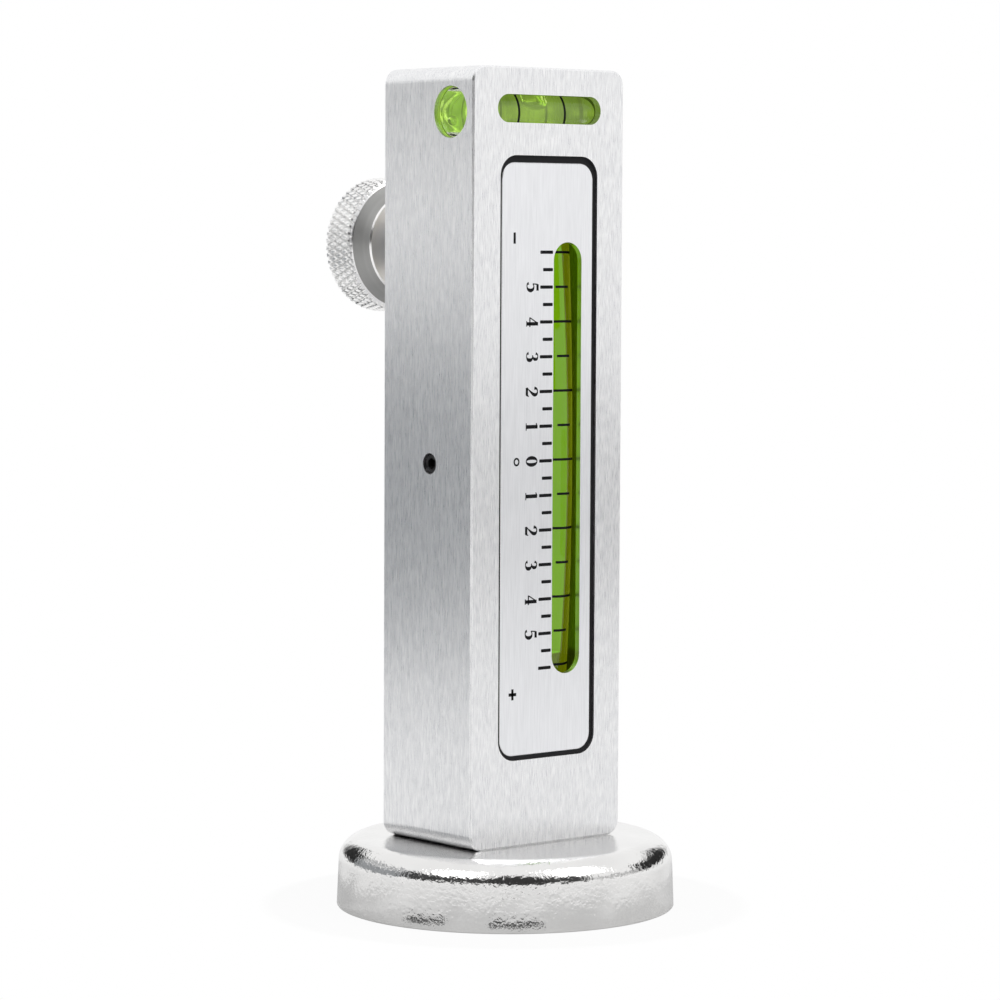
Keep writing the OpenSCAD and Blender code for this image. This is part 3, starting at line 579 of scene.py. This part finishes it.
# Painted shade: the walls of the pocket behind the plate and of the cross bore are coloured a dark olive for
# the shade inside them
pocket_half = 12.5 * mm
pocket_low = Vector((-pocket_half, bar_low.y + 1.5 * mm, bar_low.z + 12 * mm))
pocket_high = Vector((pocket_half, bar_high.y - 2 * mm, bar_high.z - 18 * mm))
level_low, level_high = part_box("level_vial")
bore_margin = Vector((-0.2, 0.3, 0.3)) * mm
bar_metal = brushed_metal(
    "Brushed aluminium", (0.71, 0.715, 0.735, 1), (1.0, 1.0, 1.0, 1), (0.22, 0.36),
    line=0.13, length=2.6, band=1.2, depth=0.02,
    shade_boxes=((pocket_low, pocket_high), (level_low - bore_margin, level_high + bore_margin)),
)
refinish("body", bar_metal)


# ---- Scale plate and gasket ----
# A thin plate with a finer grain than the bar's, printed with black enamel, let into the bar
# over a black rubber frame. A plain sign stands at each end of the scale.

plate_metal = brushed_metal(
    "Fine brushed plate", (0.84, 0.845, 0.865, 1), (0.93, 0.935, 0.955, 1), (0.28, 0.38),
    line=0.2, length=6.0, band=1.6, depth=0.006, edge=0.12,
)
refinish("scale_plate", plate_metal)

rubber = mottled(
    "Black rubber", (0.006, 0.006, 0.007, 1), (0.02, 0.02, 0.022, 1), (0.6, 0.85), 2500.0, 0.03, 2.0,
    Specular_IOR_Level=0.3,
)
refinish("plate_gasket", rubber)

enamel = mottled(
    "Black enamel", (0.004, 0.004, 0.005, 1), (0.018, 0.018, 0.02, 1), (0.45, 0.8), 3500.0, 0.006,
    Specular_IOR_Level=0.12,
)

plate_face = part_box("scale_plate")[0].y
print_raise = 0.015 * mm
zero_height = bar_middle - 0.5 * mm
half_degree = 3.352 * mm
tick_right = 1.38 * mm
tick_width = 0.64 * mm
tick_corner = 0.12 * mm
long_tick = 3.2 * mm
short_tick = 2.5 * mm
degrees_each_way = 6
number_foot = -5.25 * mm
number_height = 3.0 * mm
figure_width = 0.6
figure_stretch = 1.12
pen_width = 1.35


def ribbon(points, closed=False, ease=6):
    """Rings across a pen stroke, from (across, up, width) points run smooth, and whether it is closed."""
    count = len(points)
    spans = range(count if closed else count - 1)
    smooth = []
    for i in spans:
        places = [(i + k) % count if closed else min(max(i + k, 0), count - 1) for k in (-1, 0, 1, 2)]
        a, b, c, d = (points[k] for k in places)
        for s in range(ease):
            t = s / ease
            smooth.append([
                0.5 * (2 * b[n] + (c[n] - a[n]) * t + (2 * a[n] - 5 * b[n] + 4 * c[n] - d[n]) * t ** 2
                       + (3 * b[n] - a[n] - 3 * c[n] + d[n]) * t ** 3)
                for n in range(3)
            ])
    if not closed:
        smooth.append(list(points[-1]))
    rings = []
    for i, (x, y, w) in enumerate(smooth):
        before = smooth[i - 1] if i or closed else smooth[0]
        after = smooth[(i + 1) % len(smooth)] if i + 1 < len(smooth) or closed else smooth[-1]
        along = Vector((after[0] - before[0], after[1] - before[1])).normalized()
        off = Vector((-along.y, along.x)) * w * pen_width / 2
        rings.append([(x + off.x, y + off.y, 0), (x - off.x, y - off.y, 0),
                      (x - off.x, y - off.y, 1), (x + off.x, y + off.y, 1)])
    return rings, closed


def straight(x0, y0, x1, y1, w0, w1=None):
    return ribbon([(x0, y0, w0), (x1, y1, w1 or w0)], ease=1)


def oval(x, y, half_w, half_h, thick, thin):
    steps = 20
    points = []
    for i in range(steps):
        t = 2 * math.pi * i / steps
        width = thin + (thick - thin) * abs(math.cos(t)) ** 1.5
        points.append((x + half_w * math.cos(t), y + half_h * math.sin(t), width))
    return ribbon(points, closed=True, ease=2)


# Strokes of each figure, in a box 0.6 wide and 1 high, drawn with a broad pen
figures = {
    "0": [oval(0.30, 0.5, 0.20, 0.455, 0.16, 0.05)],
    "1": [straight(0.31, 0.03, 0.31, 0.98, 0.16), straight(0.10, 0.025, 0.52, 0.025, 0.05),
          straight(0.10, 0.86, 0.31, 0.955, 0.05, 0.08)],
    "2": [ribbon([(0.09, 0.70, 0.14), (0.13, 0.88, 0.09), (0.29, 0.965, 0.06), (0.45, 0.86, 0.13),
                  (0.46, 0.66, 0.15), (0.33, 0.43, 0.10), (0.16, 0.20, 0.05), (0.06, 0.08, 0.05)]),
          straight(0.06, 0.07, 0.50, 0.07, 0.14), straight(0.50, 0.02, 0.55, 0.24, 0.05)],
    "3": [ribbon([(0.10, 0.80, 0.12), (0.16, 0.93, 0.07), (0.28, 0.97, 0.05), (0.42, 0.88, 0.12),
                  (0.42, 0.68, 0.14), (0.31, 0.56, 0.06), (0.20, 0.54, 0.05)]),
          ribbon([(0.20, 0.54, 0.05), (0.36, 0.52, 0.07), (0.47, 0.38, 0.15), (0.46, 0.16, 0.15),
                  (0.30, 0.03, 0.05), (0.13, 0.07, 0.07), (0.08, 0.20, 0.13)])],
    "4": [straight(0.40, 0.98, 0.40, 0.03, 0.15), straight(0.38, 0.97, 0.05, 0.30, 0.05),
          straight(0.03, 0.29, 0.58, 0.29, 0.07), straight(0.24, 0.025, 0.55, 0.025, 0.05)],
    "5": [straight(0.14, 0.92, 0.50, 0.92, 0.14), straight(0.14, 0.93, 0.11, 0.52, 0.05),
          ribbon([(0.11, 0.53, 0.05), (0.26, 0.61, 0.06), (0.42, 0.54, 0.12), (0.49, 0.34, 0.16),
                  (0.42, 0.12, 0.12), (0.26, 0.03, 0.05), (0.12, 0.07, 0.08), (0.08, 0.18, 0.13)])],
    "-": [straight(0.02, 0.5, 0.58, 0.5, 0.12)],
    "+": [straight(0.02, 0.5, 0.58, 0.5, 0.12), straight(0.30, 0.22, 0.30, 0.78, 0.12)],
    "degree": [oval(0.30, 0.72, 0.17, 0.17, 0.07, 0.07)],
}


def join(name, parts):
    """One object out of several small meshes."""
    verts, faces = [], []
    for part in parts:
        start = len(verts)
        verts += [vertex.co.copy() for vertex in part.data.vertices]
        faces += [[start + index for index in face.vertices] for face in part.data.polygons]
        bpy.data.objects.remove(part)
    mesh = bpy.data.meshes.new(name)
    mesh.from_pydata(verts, [], faces)
    made = bpy.data.objects.new(name, mesh)
    bpy.context.scene.collection.objects.link(made)
    return made


def on_plate(across, up, rise):
    return Vector((across, plate_face - rise * print_raise, up))


def print_figure(figure, height, foot, middle):
    """A figure on the plate, turned a quarter so that its top points to the right."""
    def printed(x, y, rise):
        return on_plate(foot + y * height, middle - (x - figure_width / 2) * height * figure_stretch, rise)

    parts = []
    for rings, closed in figures[figure]:
        placed = [[printed(*point) for point in ring] for ring in rings]
        parts.append(skin("stroke", placed, round_trip=closed))
    return parts


ticks = []
for step in range(-2 * degrees_each_way, 2 * degrees_each_way + 1):
    level = zero_height + step * half_degree
    left = tick_right - (long_tick if step % 2 == 0 else short_tick)
    half = tick_width / 2
    outline = [
        (left + tick_corner, -half), (tick_right - tick_corner, -half),
        (tick_right, tick_corner - half), (tick_right, half - tick_corner),
        (tick_right - tick_corner, half), (left + tick_corner, half),
        (left, half - tick_corner), (left, tick_corner - half),
    ]
    ticks.append(skin("tick", [[on_plate(x, level + z, rise) for x, z in outline] for rise in (0, 1)]))
dress(weld_and_smooth(join("scale_ticks", ticks)), enamel, "bar", "plate_gasket")

numbers = []
for degree in range(-5, 6):
    height = zero_height + degree * 2 * half_degree
    numbers += print_figure(str(abs(degree)), number_height, number_foot, height)
dress(weld_and_smooth(join("scale_numbers", numbers)), enamel, "bar", "plate_gasket")

sign_foot = -10.0 * mm
sign_height = 3.4 * mm
minus_height = bar_middle + 42.4 * mm
plus_height = bar_middle - 45.4 * mm
signs = []
for sign, height in (("-", minus_height), ("degree", zero_height), ("+", plus_height)):
    signs += print_figure(sign, sign_height, sign_foot, height)
dress(weld_and_smooth(join("scale_signs", signs)), enamel, "bar", "plate_gasket")


# ---- Camber vial ----
# A bent rod of clear acrylic with a curved bore full of bright green spirit. The fluid and the
# acrylic bend light nearly alike, so the bore can hardly be seen. Marks are printed round it.

vial_x = 6.0 * mm
vial_radius = 4.4 * mm
vial_bend = 650 * mm
vial_half = 48 * mm
vial_axis = bar_low.y + 6.45 * mm
bore_radius = 2.1 * mm
bore_bend = 384 * mm
bore_axis = vial_axis - 0.5 * mm


def on_bend(bend, axis, radius, around, along):
    """A point at a radius from the bent axis, around from the front and along from the zero mark."""
    tilt = math.asin(along / bend)
    reach = bend + radius * math.cos(around)
    return Vector((
        vial_x + radius * math.sin(around),
        axis + bend - reach * math.cos(tilt),
        zero_height + reach * math.sin(tilt),
    ))


def bent_rod(name, bend, axis, radius, low, high, steps=64, sides=96):
    rings = []
    for i in range(steps + 1):
        along = low + (high - low) * i / steps
        rings.append([on_bend(bend, axis, radius, 2 * math.pi * k / sides, along) for k in range(sides)])
    return weld_and_smooth(skin(name, rings), 40)


def clear_plastic(name, tint, index, rough, painted_glow=None, wave=0.01, flow=(420, 420, 60), deep=0.7):
    """Acrylic or spirit; a given glow makes it shine by itself, a painted light."""
    made, tree, sockets = new_finish(name, Base_Color=tint, Transmission_Weight=1.0, Metallic=0.0, IOR=index)
    coords = node(tree, "TexCoord").outputs["Object"]
    swirl = node(tree, "TexNoise", {"Vector": scaled(tree, coords, flow), "Scale": 1.0, "Detail": 2.0})
    tree.links.new(spread(tree, swirl.outputs["Fac"], rough * 0.5, rough * 1.5), sockets["Roughness"])
    tree.links.new(bump(tree, swirl.outputs["Fac"], wave * mm), sockets["Normal"])
    if painted_glow:
        colour, level = painted_glow
        sockets["Emission Strength"].default_value = level
        dark = tuple(c * deep for c in colour[:3]) + (1,)
        tree.links.new(mix_colour(tree, swirl.outputs["Fac"], dark, colour), sockets["Emission Color"])
    return made


# Painted light: the acrylic and the spirit both glow green by themselves, for the light that gets into the
# vial.
acrylic = clear_plastic(
    "Clear acrylic", (0.80, 0.90, 0.13, 1), 1.49, 0.02, painted_glow=((0.27, 0.33, 0.003, 1), 0.20)
)
acrylic.node_tree.nodes["Principled BSDF"].inputs["Specular IOR Level"].default_value = 0.0
spirit = clear_plastic("Green spirit", (0.78, 0.96, 0.14, 1), 1.02, 0.02, painted_glow=((0.20, 0.60, 0.002, 1), 0.22))
cap_plastic = mottled(
    "Plug plastic", (0.22, 0.36, 0.05, 1), (0.34, 0.50, 0.10, 1), (0.25, 0.5), 700.0, 0.02
)

dress(
    bent_rod("camber_vial_rod", vial_bend, vial_axis, vial_radius, -vial_half, vial_half),
    acrylic, "carrier", "camber_vial", "camber_vial",
)
fluid_low = -37.9 * mm
fluid_high = 42.4 * mm
dress(
    bent_rod("camber_vial_fluid", bore_bend, bore_axis, bore_radius, fluid_low, fluid_high),
    spirit, "carrier", "camber_fluid", "camber_fluid",
)
refinish("camber_vial_plugs", cap_plastic)

mark_inside = vial_radius - 0.005 * mm
mark_outside = vial_radius + 0.02 * mm
mark_half = 0.24 * mm
mark_section = ((mark_inside, -1), (mark_outside, -1), (mark_outside, 1), (mark_inside, 1))
mark_steps = 24
long_reach = math.radians(62)
short_reach = math.radians(21)
marks = []
for degree in range(-degrees_each_way, degrees_each_way + 1):
    reach = long_reach if degree % 2 == 0 else short_reach
    level = degree * 2 * half_degree * vial_bend / (vial_bend + vial_radius)
    rings = []
    for i in range(mark_steps + 1):
        around = -reach + 2 * reach * i / mark_steps
        rings.append([
            on_bend(vial_bend, vial_axis, radius, around, level + side * mark_half)
            for radius, side in mark_section
        ])
    marks.append(skin("mark", rings))
dress(weld_and_smooth(join("camber_vial_marks", marks)), enamel, "carrier", "camber_vial")


# ---- Carrier, clips and pivots ----
# A dark anodised bar, milled with a round groove for the vial, rocks between two black point
# screws. Spring steel strips hook over the vial's ends, each held by one small screw.

carrier_metal = brushed_metal(
    "Anodised carrier", (0.04, 0.04, 0.038, 1), (0.09, 0.09, 0.085, 1), (0.4, 0.6),
    line=0.35, length=4.0, band=2.0,
)
strip_steel = brushed_metal(
    "Spring strip", (0.50, 0.50, 0.52, 1), (0.66, 0.66, 0.68, 1), (0.2, 0.35),
    line=0.1, length=8.0, band=1.0,
)
refinish("vial_carrier", carrier_metal)
refinish("vial_clips", strip_steel)
refinish("clip_screws", zinc)

black_oxide = mottled(
    "Black oxide", (0.012, 0.012, 0.013, 1), (0.05, 0.05, 0.052, 1), (0.25, 0.5), 900.0, 0.01, Metallic=0.6
)
for screw in ("left_pivot_screw", "right_pivot_screw", "knob_set_screw"):
    refinish(screw, black_oxide)


# ---- Adjuster ----
# A steel stem with a fine thread runs in a brass bush pressed into the bar's back wall. The
# knurled, nickel plated knob is fixed on the stem, and a spring with a washer stops it rattling.

knob_low, knob_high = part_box("adjuster_knob")
knob_height = (knob_low.z + knob_high.z) / 2
along_back = Matrix.Translation((0, 0, knob_height)) @ Matrix.Rotation(math.radians(-90), 4, "X")


def adjuster_metal(name, dark, light, rough, **marks):
    """Metal turned round the adjuster's own axis."""
    return turned_metal(name, dark, light, rough, (0, 0, knob_height), (math.radians(90), 0, 0), **marks)


brass = adjuster_metal("Turned brass", (0.72, 0.52, 0.22, 1), (0.84, 0.64, 0.32, 1), (0.22, 0.36))
stem_steel = adjuster_metal("Turned steel", (0.48, 0.48, 0.49, 1), (0.62, 0.62, 0.63, 1), (0.2, 0.35))
knob_nickel = adjuster_metal(
    "Bright knob nickel", (0.92, 0.915, 0.91, 1), (0.99, 0.985, 0.98, 1), (0.16, 0.26),
    ring=0.09, depth=0.003,
)
# Painted shade: the shoulder is coloured much darker than the knob's nickel, for the shade it mirrors behind
# the bar; its satin gloss is real.
shoulder_painted_shade = adjuster_metal(
    "Satin knob shoulder with painted shade", (0.36, 0.36, 0.352, 1), (0.46, 0.458, 0.45, 1), (0.42, 0.52),
    ring=0.09, depth=0.004,
)
face_nickel = adjuster_metal(
    "Turned knob face", (0.92, 0.92, 0.90, 1), (1.0, 1.0, 0.98, 1), (0.30, 0.42),
    ring=0.12, depth=0.004,
)
polished = adjuster_metal("Polished steel", (0.78, 0.78, 0.79, 1), (0.84, 0.84, 0.85, 1), (0.04, 0.08))
refinish("adjuster_bush", brass)
refinish("spring_washer", stem_steel)
refinish("thrust_ball", polished)

# The stem: a thread with a flat crest and root from its tip to the hub, then the plain spigot
thread_pitch = 0.75 * mm
thread_depth = 0.40 * mm
flank_slope = 1.25
stem_radius = 3.0 * mm
spigot_radius = 2.5 * mm
spigot_bevel = 0.3 * mm
stem_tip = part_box("adjuster_stem")[0].y
stem_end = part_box("adjuster_stem")[1].y
hub_end = knob_low.y
turn_steps = 48
rows_per_turn = 8


def round_the_stem(turn, radius, height):
    """A point at a radius from the stem's axis, with turn counted in whole turns."""
    t = 2 * math.pi * turn
    return along_back @ Vector((radius * math.cos(t), radius * math.sin(t), height))


def thread_radius(height, turn):
    """Sloped flanks between a flat crest and root; the thread fades out over a pitch at both ends."""
    phase = (height / thread_pitch - turn) % 1
    rise = min(1.0, max(0.0, 2 - abs(4 * phase - 2) * flank_slope))
    end = min(1.0, (height - stem_tip) / thread_pitch, (hub_end - height) / thread_pitch)
    return stem_radius - thread_depth * (1 - rise * max(0.0, end))


rows = int((hub_end - stem_tip) / thread_pitch * rows_per_turn)
turn_shares = [i / turn_steps for i in range(turn_steps)]
stem_rings = []
for row in range(rows + 1):
    y = stem_tip + (hub_end - stem_tip) * row / rows
    stem_rings.append([round_the_stem(turn, thread_radius(y, turn), y) for turn in turn_shares])
bevel_start = stem_end - spigot_bevel
bevel_radius = spigot_radius - spigot_bevel
for radius, y in ((spigot_radius, hub_end), (spigot_radius, bevel_start), (bevel_radius, stem_end)):
    stem_rings.append([round_the_stem(turn, radius, y) for turn in turn_shares])
stem = weld_and_smooth(skin("adjuster_screw", stem_rings), 24)
dress(stem, stem_steel, "knob", "adjuster_stem", "adjuster_stem")

# The knob: a hub face with a bevel, a tapered shoulder, then a rim whose bevels cut its diamonds
rim_radius = 13.5 * mm
knurl_depth = 0.55 * mm
knurl_count = 58
face_radius = 12.55 * mm
hub_radius = 10.3 * mm
hub_bevel = 0.3 * mm
spigot_hole = spigot_radius + 0.02 * mm
screw_hole = 1.52 * mm
screw_end = 2.6 * mm
shoulder = 2.8 * mm
rim_start = hub_end + shoulder
rim_end = knob_high.y
floor_depth = 1.4 * mm

columns = knurl_count * 12
knurl_rows = 48
rim_slope = 2.2
diamonds_across = 2.2
groove_half = 0.2


def knurl_height(turn, across):
    """0 in a groove, 1 on a diamond's flat top; two sets of grooves cross at equal slopes."""
    one = (knurl_count * turn + diamonds_across * across) % 1
    two = (knurl_count * turn - diamonds_across * across) % 1
    near = min(one, 1 - one, two, 1 - two)
    return min(1.0, near / groove_half)


def knob_ring(turn):
    root = rim_radius - knurl_depth
    band = []
    for row in range(1, knurl_rows):
        across = row / knurl_rows
        from_edge = (rim_end - rim_start) * min(across, 1 - across)
        crest = root + knurl_depth * knurl_height(turn, across)
        bevel = face_radius + rim_slope * from_edge
        band.append((min(crest, bevel), rim_start + (rim_end - rim_start) * across))
    section = (
        [(spigot_hole, hub_end), (hub_radius - hub_bevel, hub_end), (hub_radius, hub_end + hub_bevel)]
        + [(face_radius, rim_start)] + band + [(face_radius, rim_end), (0.0, rim_end)]
        + [(0.0, rim_end - floor_depth), (spigot_hole, rim_end - floor_depth)]
    )
    return [round_the_stem(turn, r, y) for r, y in section]


knob_rings = [knob_ring(i / columns) for i in range(columns)]
knob = weld_and_smooth(skin("adjuster_knob_turned", knob_rings, round_trip=True), 35)
rim_middle = Matrix.Translation((0, (rim_start + rim_end) / 2, knob_height))
past_rim = 1.5 * rim_radius
drill = turned(
    "drill", [(0, screw_end), (screw_hole, screw_end), (screw_hole, past_rim), (0, past_rim)], 48,
    rim_middle @ Matrix.Rotation(math.radians(90), 4, "Y"),
)
cut = knob.modifiers.new("set screw hole", "BOOLEAN")
cut.object = drill
cut.operation = "DIFFERENCE"
cut.solver = "EXACT"
bpy.context.view_layer.update()
drilled = bpy.data.meshes.new_from_object(knob.evaluated_get(bpy.context.evaluated_depsgraph_get()))
knob.modifiers.clear()
knob.data = drilled
bpy.data.objects.remove(drill)
dress(knob, knob_nickel, "knob", "adjuster_knob", "adjuster_knob")
knob.data.materials.append(shoulder_painted_shade)
knob.data.materials.append(face_nickel)
# The shoulder's faces take the painted shade, the hub's end face the rougher turned finish.
for face in knob.data.polygons:
    if hub_end + hub_bevel < face.center.y < rim_start and abs(face.normal.y) < 0.95:
        face.material_index = 1
    elif face.normal.y < -0.95:
        face.material_index = 2


# ---- Springs ----
# Two springs wound from hard steel wire with closed ends. One presses the knob away from its
# bush, the other presses the carrier back against the stem's ball.

spring_wire = adjuster_metal("Spring wire", (0.42, 0.42, 0.44, 1), (0.58, 0.58, 0.60, 1), (0.2, 0.4))


def spring(name, foot, outer, wire, length, turns=6, dead=0.8):
    """A wire that runs flat for the dead part at each end, where it is ground thin, and climbs between."""
    place = Matrix.Translation(foot) @ Matrix.Rotation(math.radians(-90), 4, "X")
    sides, steps_per_turn = 14, 40
    radius = (outer - wire) / 2
    rise = length - wire - 2 * dead * wire
    steps = int(turns * steps_per_turn)

    def height(turn):
        climbing = min(max(turn - dead, 0), turns - 2 * dead)
        flat = min(turn, dead) + max(0, turn - turns + dead)
        return wire / 2 + flat * wire + rise * climbing / (turns - 2 * dead)

    rings = []
    for i in range(steps + 1):
        turn = i / steps_per_turn
        t = 2 * math.pi * turn
        ground = min(1.0, 0.35 + 1.3 * min(turn, turns - turn))
        out = Vector((math.cos(t), math.sin(t), 0))
        centre = out * radius + Vector((0, 0, height(turn)))
        rings.append([
            place @ (centre + wire / 2 * (math.cos(s) * out + math.sin(s) * ground * Vector((0, 0, 1))))
            for s in (2 * math.pi * k / sides for k in range(sides))
        ])
    return weld_and_smooth(skin(name, rings), 60)


knob_wire = 0.9 * mm
knob_coil = 10.2 * mm
spring_low, spring_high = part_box("knob_spring")
knob_spring = spring(
    "knob_spring_wound", (0, spring_low.y, knob_height), knob_coil, knob_wire, spring_high.y - spring_low.y
)
dress(knob_spring, spring_wire, None, "knob_spring", "knob_spring")
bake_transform(knob_spring)

return_wire = 0.6 * mm
return_coil = 5.2 * mm
return_low, return_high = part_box("return_spring")
return_height = (return_low.z + return_high.z) / 2
return_spring = spring(
    "return_spring_wound", (0, return_low.y, return_height), return_coil, return_wire,
    return_high.y - return_low.y,
)
dress(return_spring, spring_wire, None, "return_spring", "return_spring")
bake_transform(return_spring)


# ---- Level vial ----
# A short acrylic rod, glued into the bar's cross bore, with a bubble between two printed rings.
# It is green right through, and its polished end shows in the bar's left side.

level_depth = (level_low.y + level_high.y) / 2
level_height = (level_low.z + level_high.z) / 2
level_radius = (level_high.z - level_low.z) / 2
along_width = Matrix.Translation((0, level_depth, level_height)) @ Matrix.Rotation(math.radians(90), 4, "Y")
level_bore = level_radius - 1.0 * mm
level_plug = 3.5 * mm
end_edge = 0.3 * mm
fluid_edge = 0.05 * mm
plug_gap = 0.03 * mm


def rod_section(radius, low, high, edge):
    low_end = [(0, low), (radius - edge, low), (radius, low + edge)]
    return low_end + [(radius, high - edge), (radius - edge, high), (0, high)]


level_acrylic = clear_plastic("Level acrylic", (0.80, 0.88, 0.50, 1), 1.49, 0.02, flow=(90, 500, 500))
# Painted shade: the rod's end face is tinted darker than the rest of the rod; its haze is real.
shaded_level_end = clear_plastic("Level end, painted shade", (0.52, 0.60, 0.54, 1), 1.49, 0.08)
# Painted light: the level's spirit glows green by itself.
level_spirit = clear_plastic(
    "Level spirit", (0.80, 0.92, 0.46, 1), 1.02, 0.02, painted_glow=((0.44, 0.64, 0.13, 1), 0.34),
    wave=0.03, flow=(160, 420, 420), deep=0.1,
)

# The rod's right end is bored for its plug
plug_low, plug_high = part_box("level_vial_plug")
plug_hole = (plug_high.z - plug_low.z) / 2 + plug_gap
plug_seat = plug_low.x - plug_gap
level_outline = rod_section(level_radius, level_low.x, level_high.x, end_edge)[:-1] + [
    (plug_hole, level_high.x), (plug_hole, plug_seat), (0, plug_seat)
]
level_rod = turned("level_vial_rod", level_outline, 128, along_width)
dress(level_rod, level_acrylic, "bar", "level_vial", "level_vial")
level_rod.data.materials.append(shaded_level_end)
for face in level_rod.data.polygons:
    if face.normal.x < -0.95:
        face.material_index = 1
fluid_outline = rod_section(level_bore, level_low.x + level_plug, level_high.x - level_plug, fluid_edge)
level_fluid = turned("level_vial_fluid", fluid_outline, 96, along_width)
dress(level_fluid, level_spirit, "bar", "level_fluid", "level_fluid")
refinish("level_vial_plug", cap_plastic)

bubble_radius = 1.7 * mm
bubble_spread = 1.15
bubble_fullness = 0.55
bubble_half = 3.25 * mm
bubble_gap = 0.12 * mm
bubble_rise = level_bore - bubble_radius - bubble_gap
bubble_sides, bubble_steps = 32, 40
bubble_rings = []
for i in range(1, bubble_steps):
    t = math.pi * i / bubble_steps
    along = -math.cos(t) * bubble_half
    swell = math.sin(t) ** bubble_fullness * bubble_radius
    bubble_rings.append([
        along_width @ Vector((-bubble_rise + swell * math.cos(s), swell * bubble_spread * math.sin(s), along))
        for s in (2 * math.pi * k / bubble_sides for k in range(bubble_sides))
    ])
bubble = weld_and_smooth(skin("level_vial_bubble", bubble_rings), 60)
bubble.data.flip_normals()
bubble_skin = clear_plastic("Bubble", (0.95, 1.0, 0.85, 1), 1.45, 0.0)
dress(bubble, bubble_skin, "bar", "level_fluid")

rings_at = (-6.1 * mm, 5.45 * mm)
ring_half = 0.26 * mm
ring_inside = level_radius - 0.005 * mm
ring_outside = level_radius + 0.012 * mm
level_rings = []
for centre in rings_at:
    low, high = centre - ring_half, centre + ring_half
    ring_outline = [(ring_inside, low), (ring_outside, low), (ring_outside, high), (ring_inside, high)]
    level_rings.append(turned("ring", ring_outline, 96, along_width))
dress(weld_and_smooth(join("level_vial_rings", level_rings)), enamel, "bar", "level_vial")
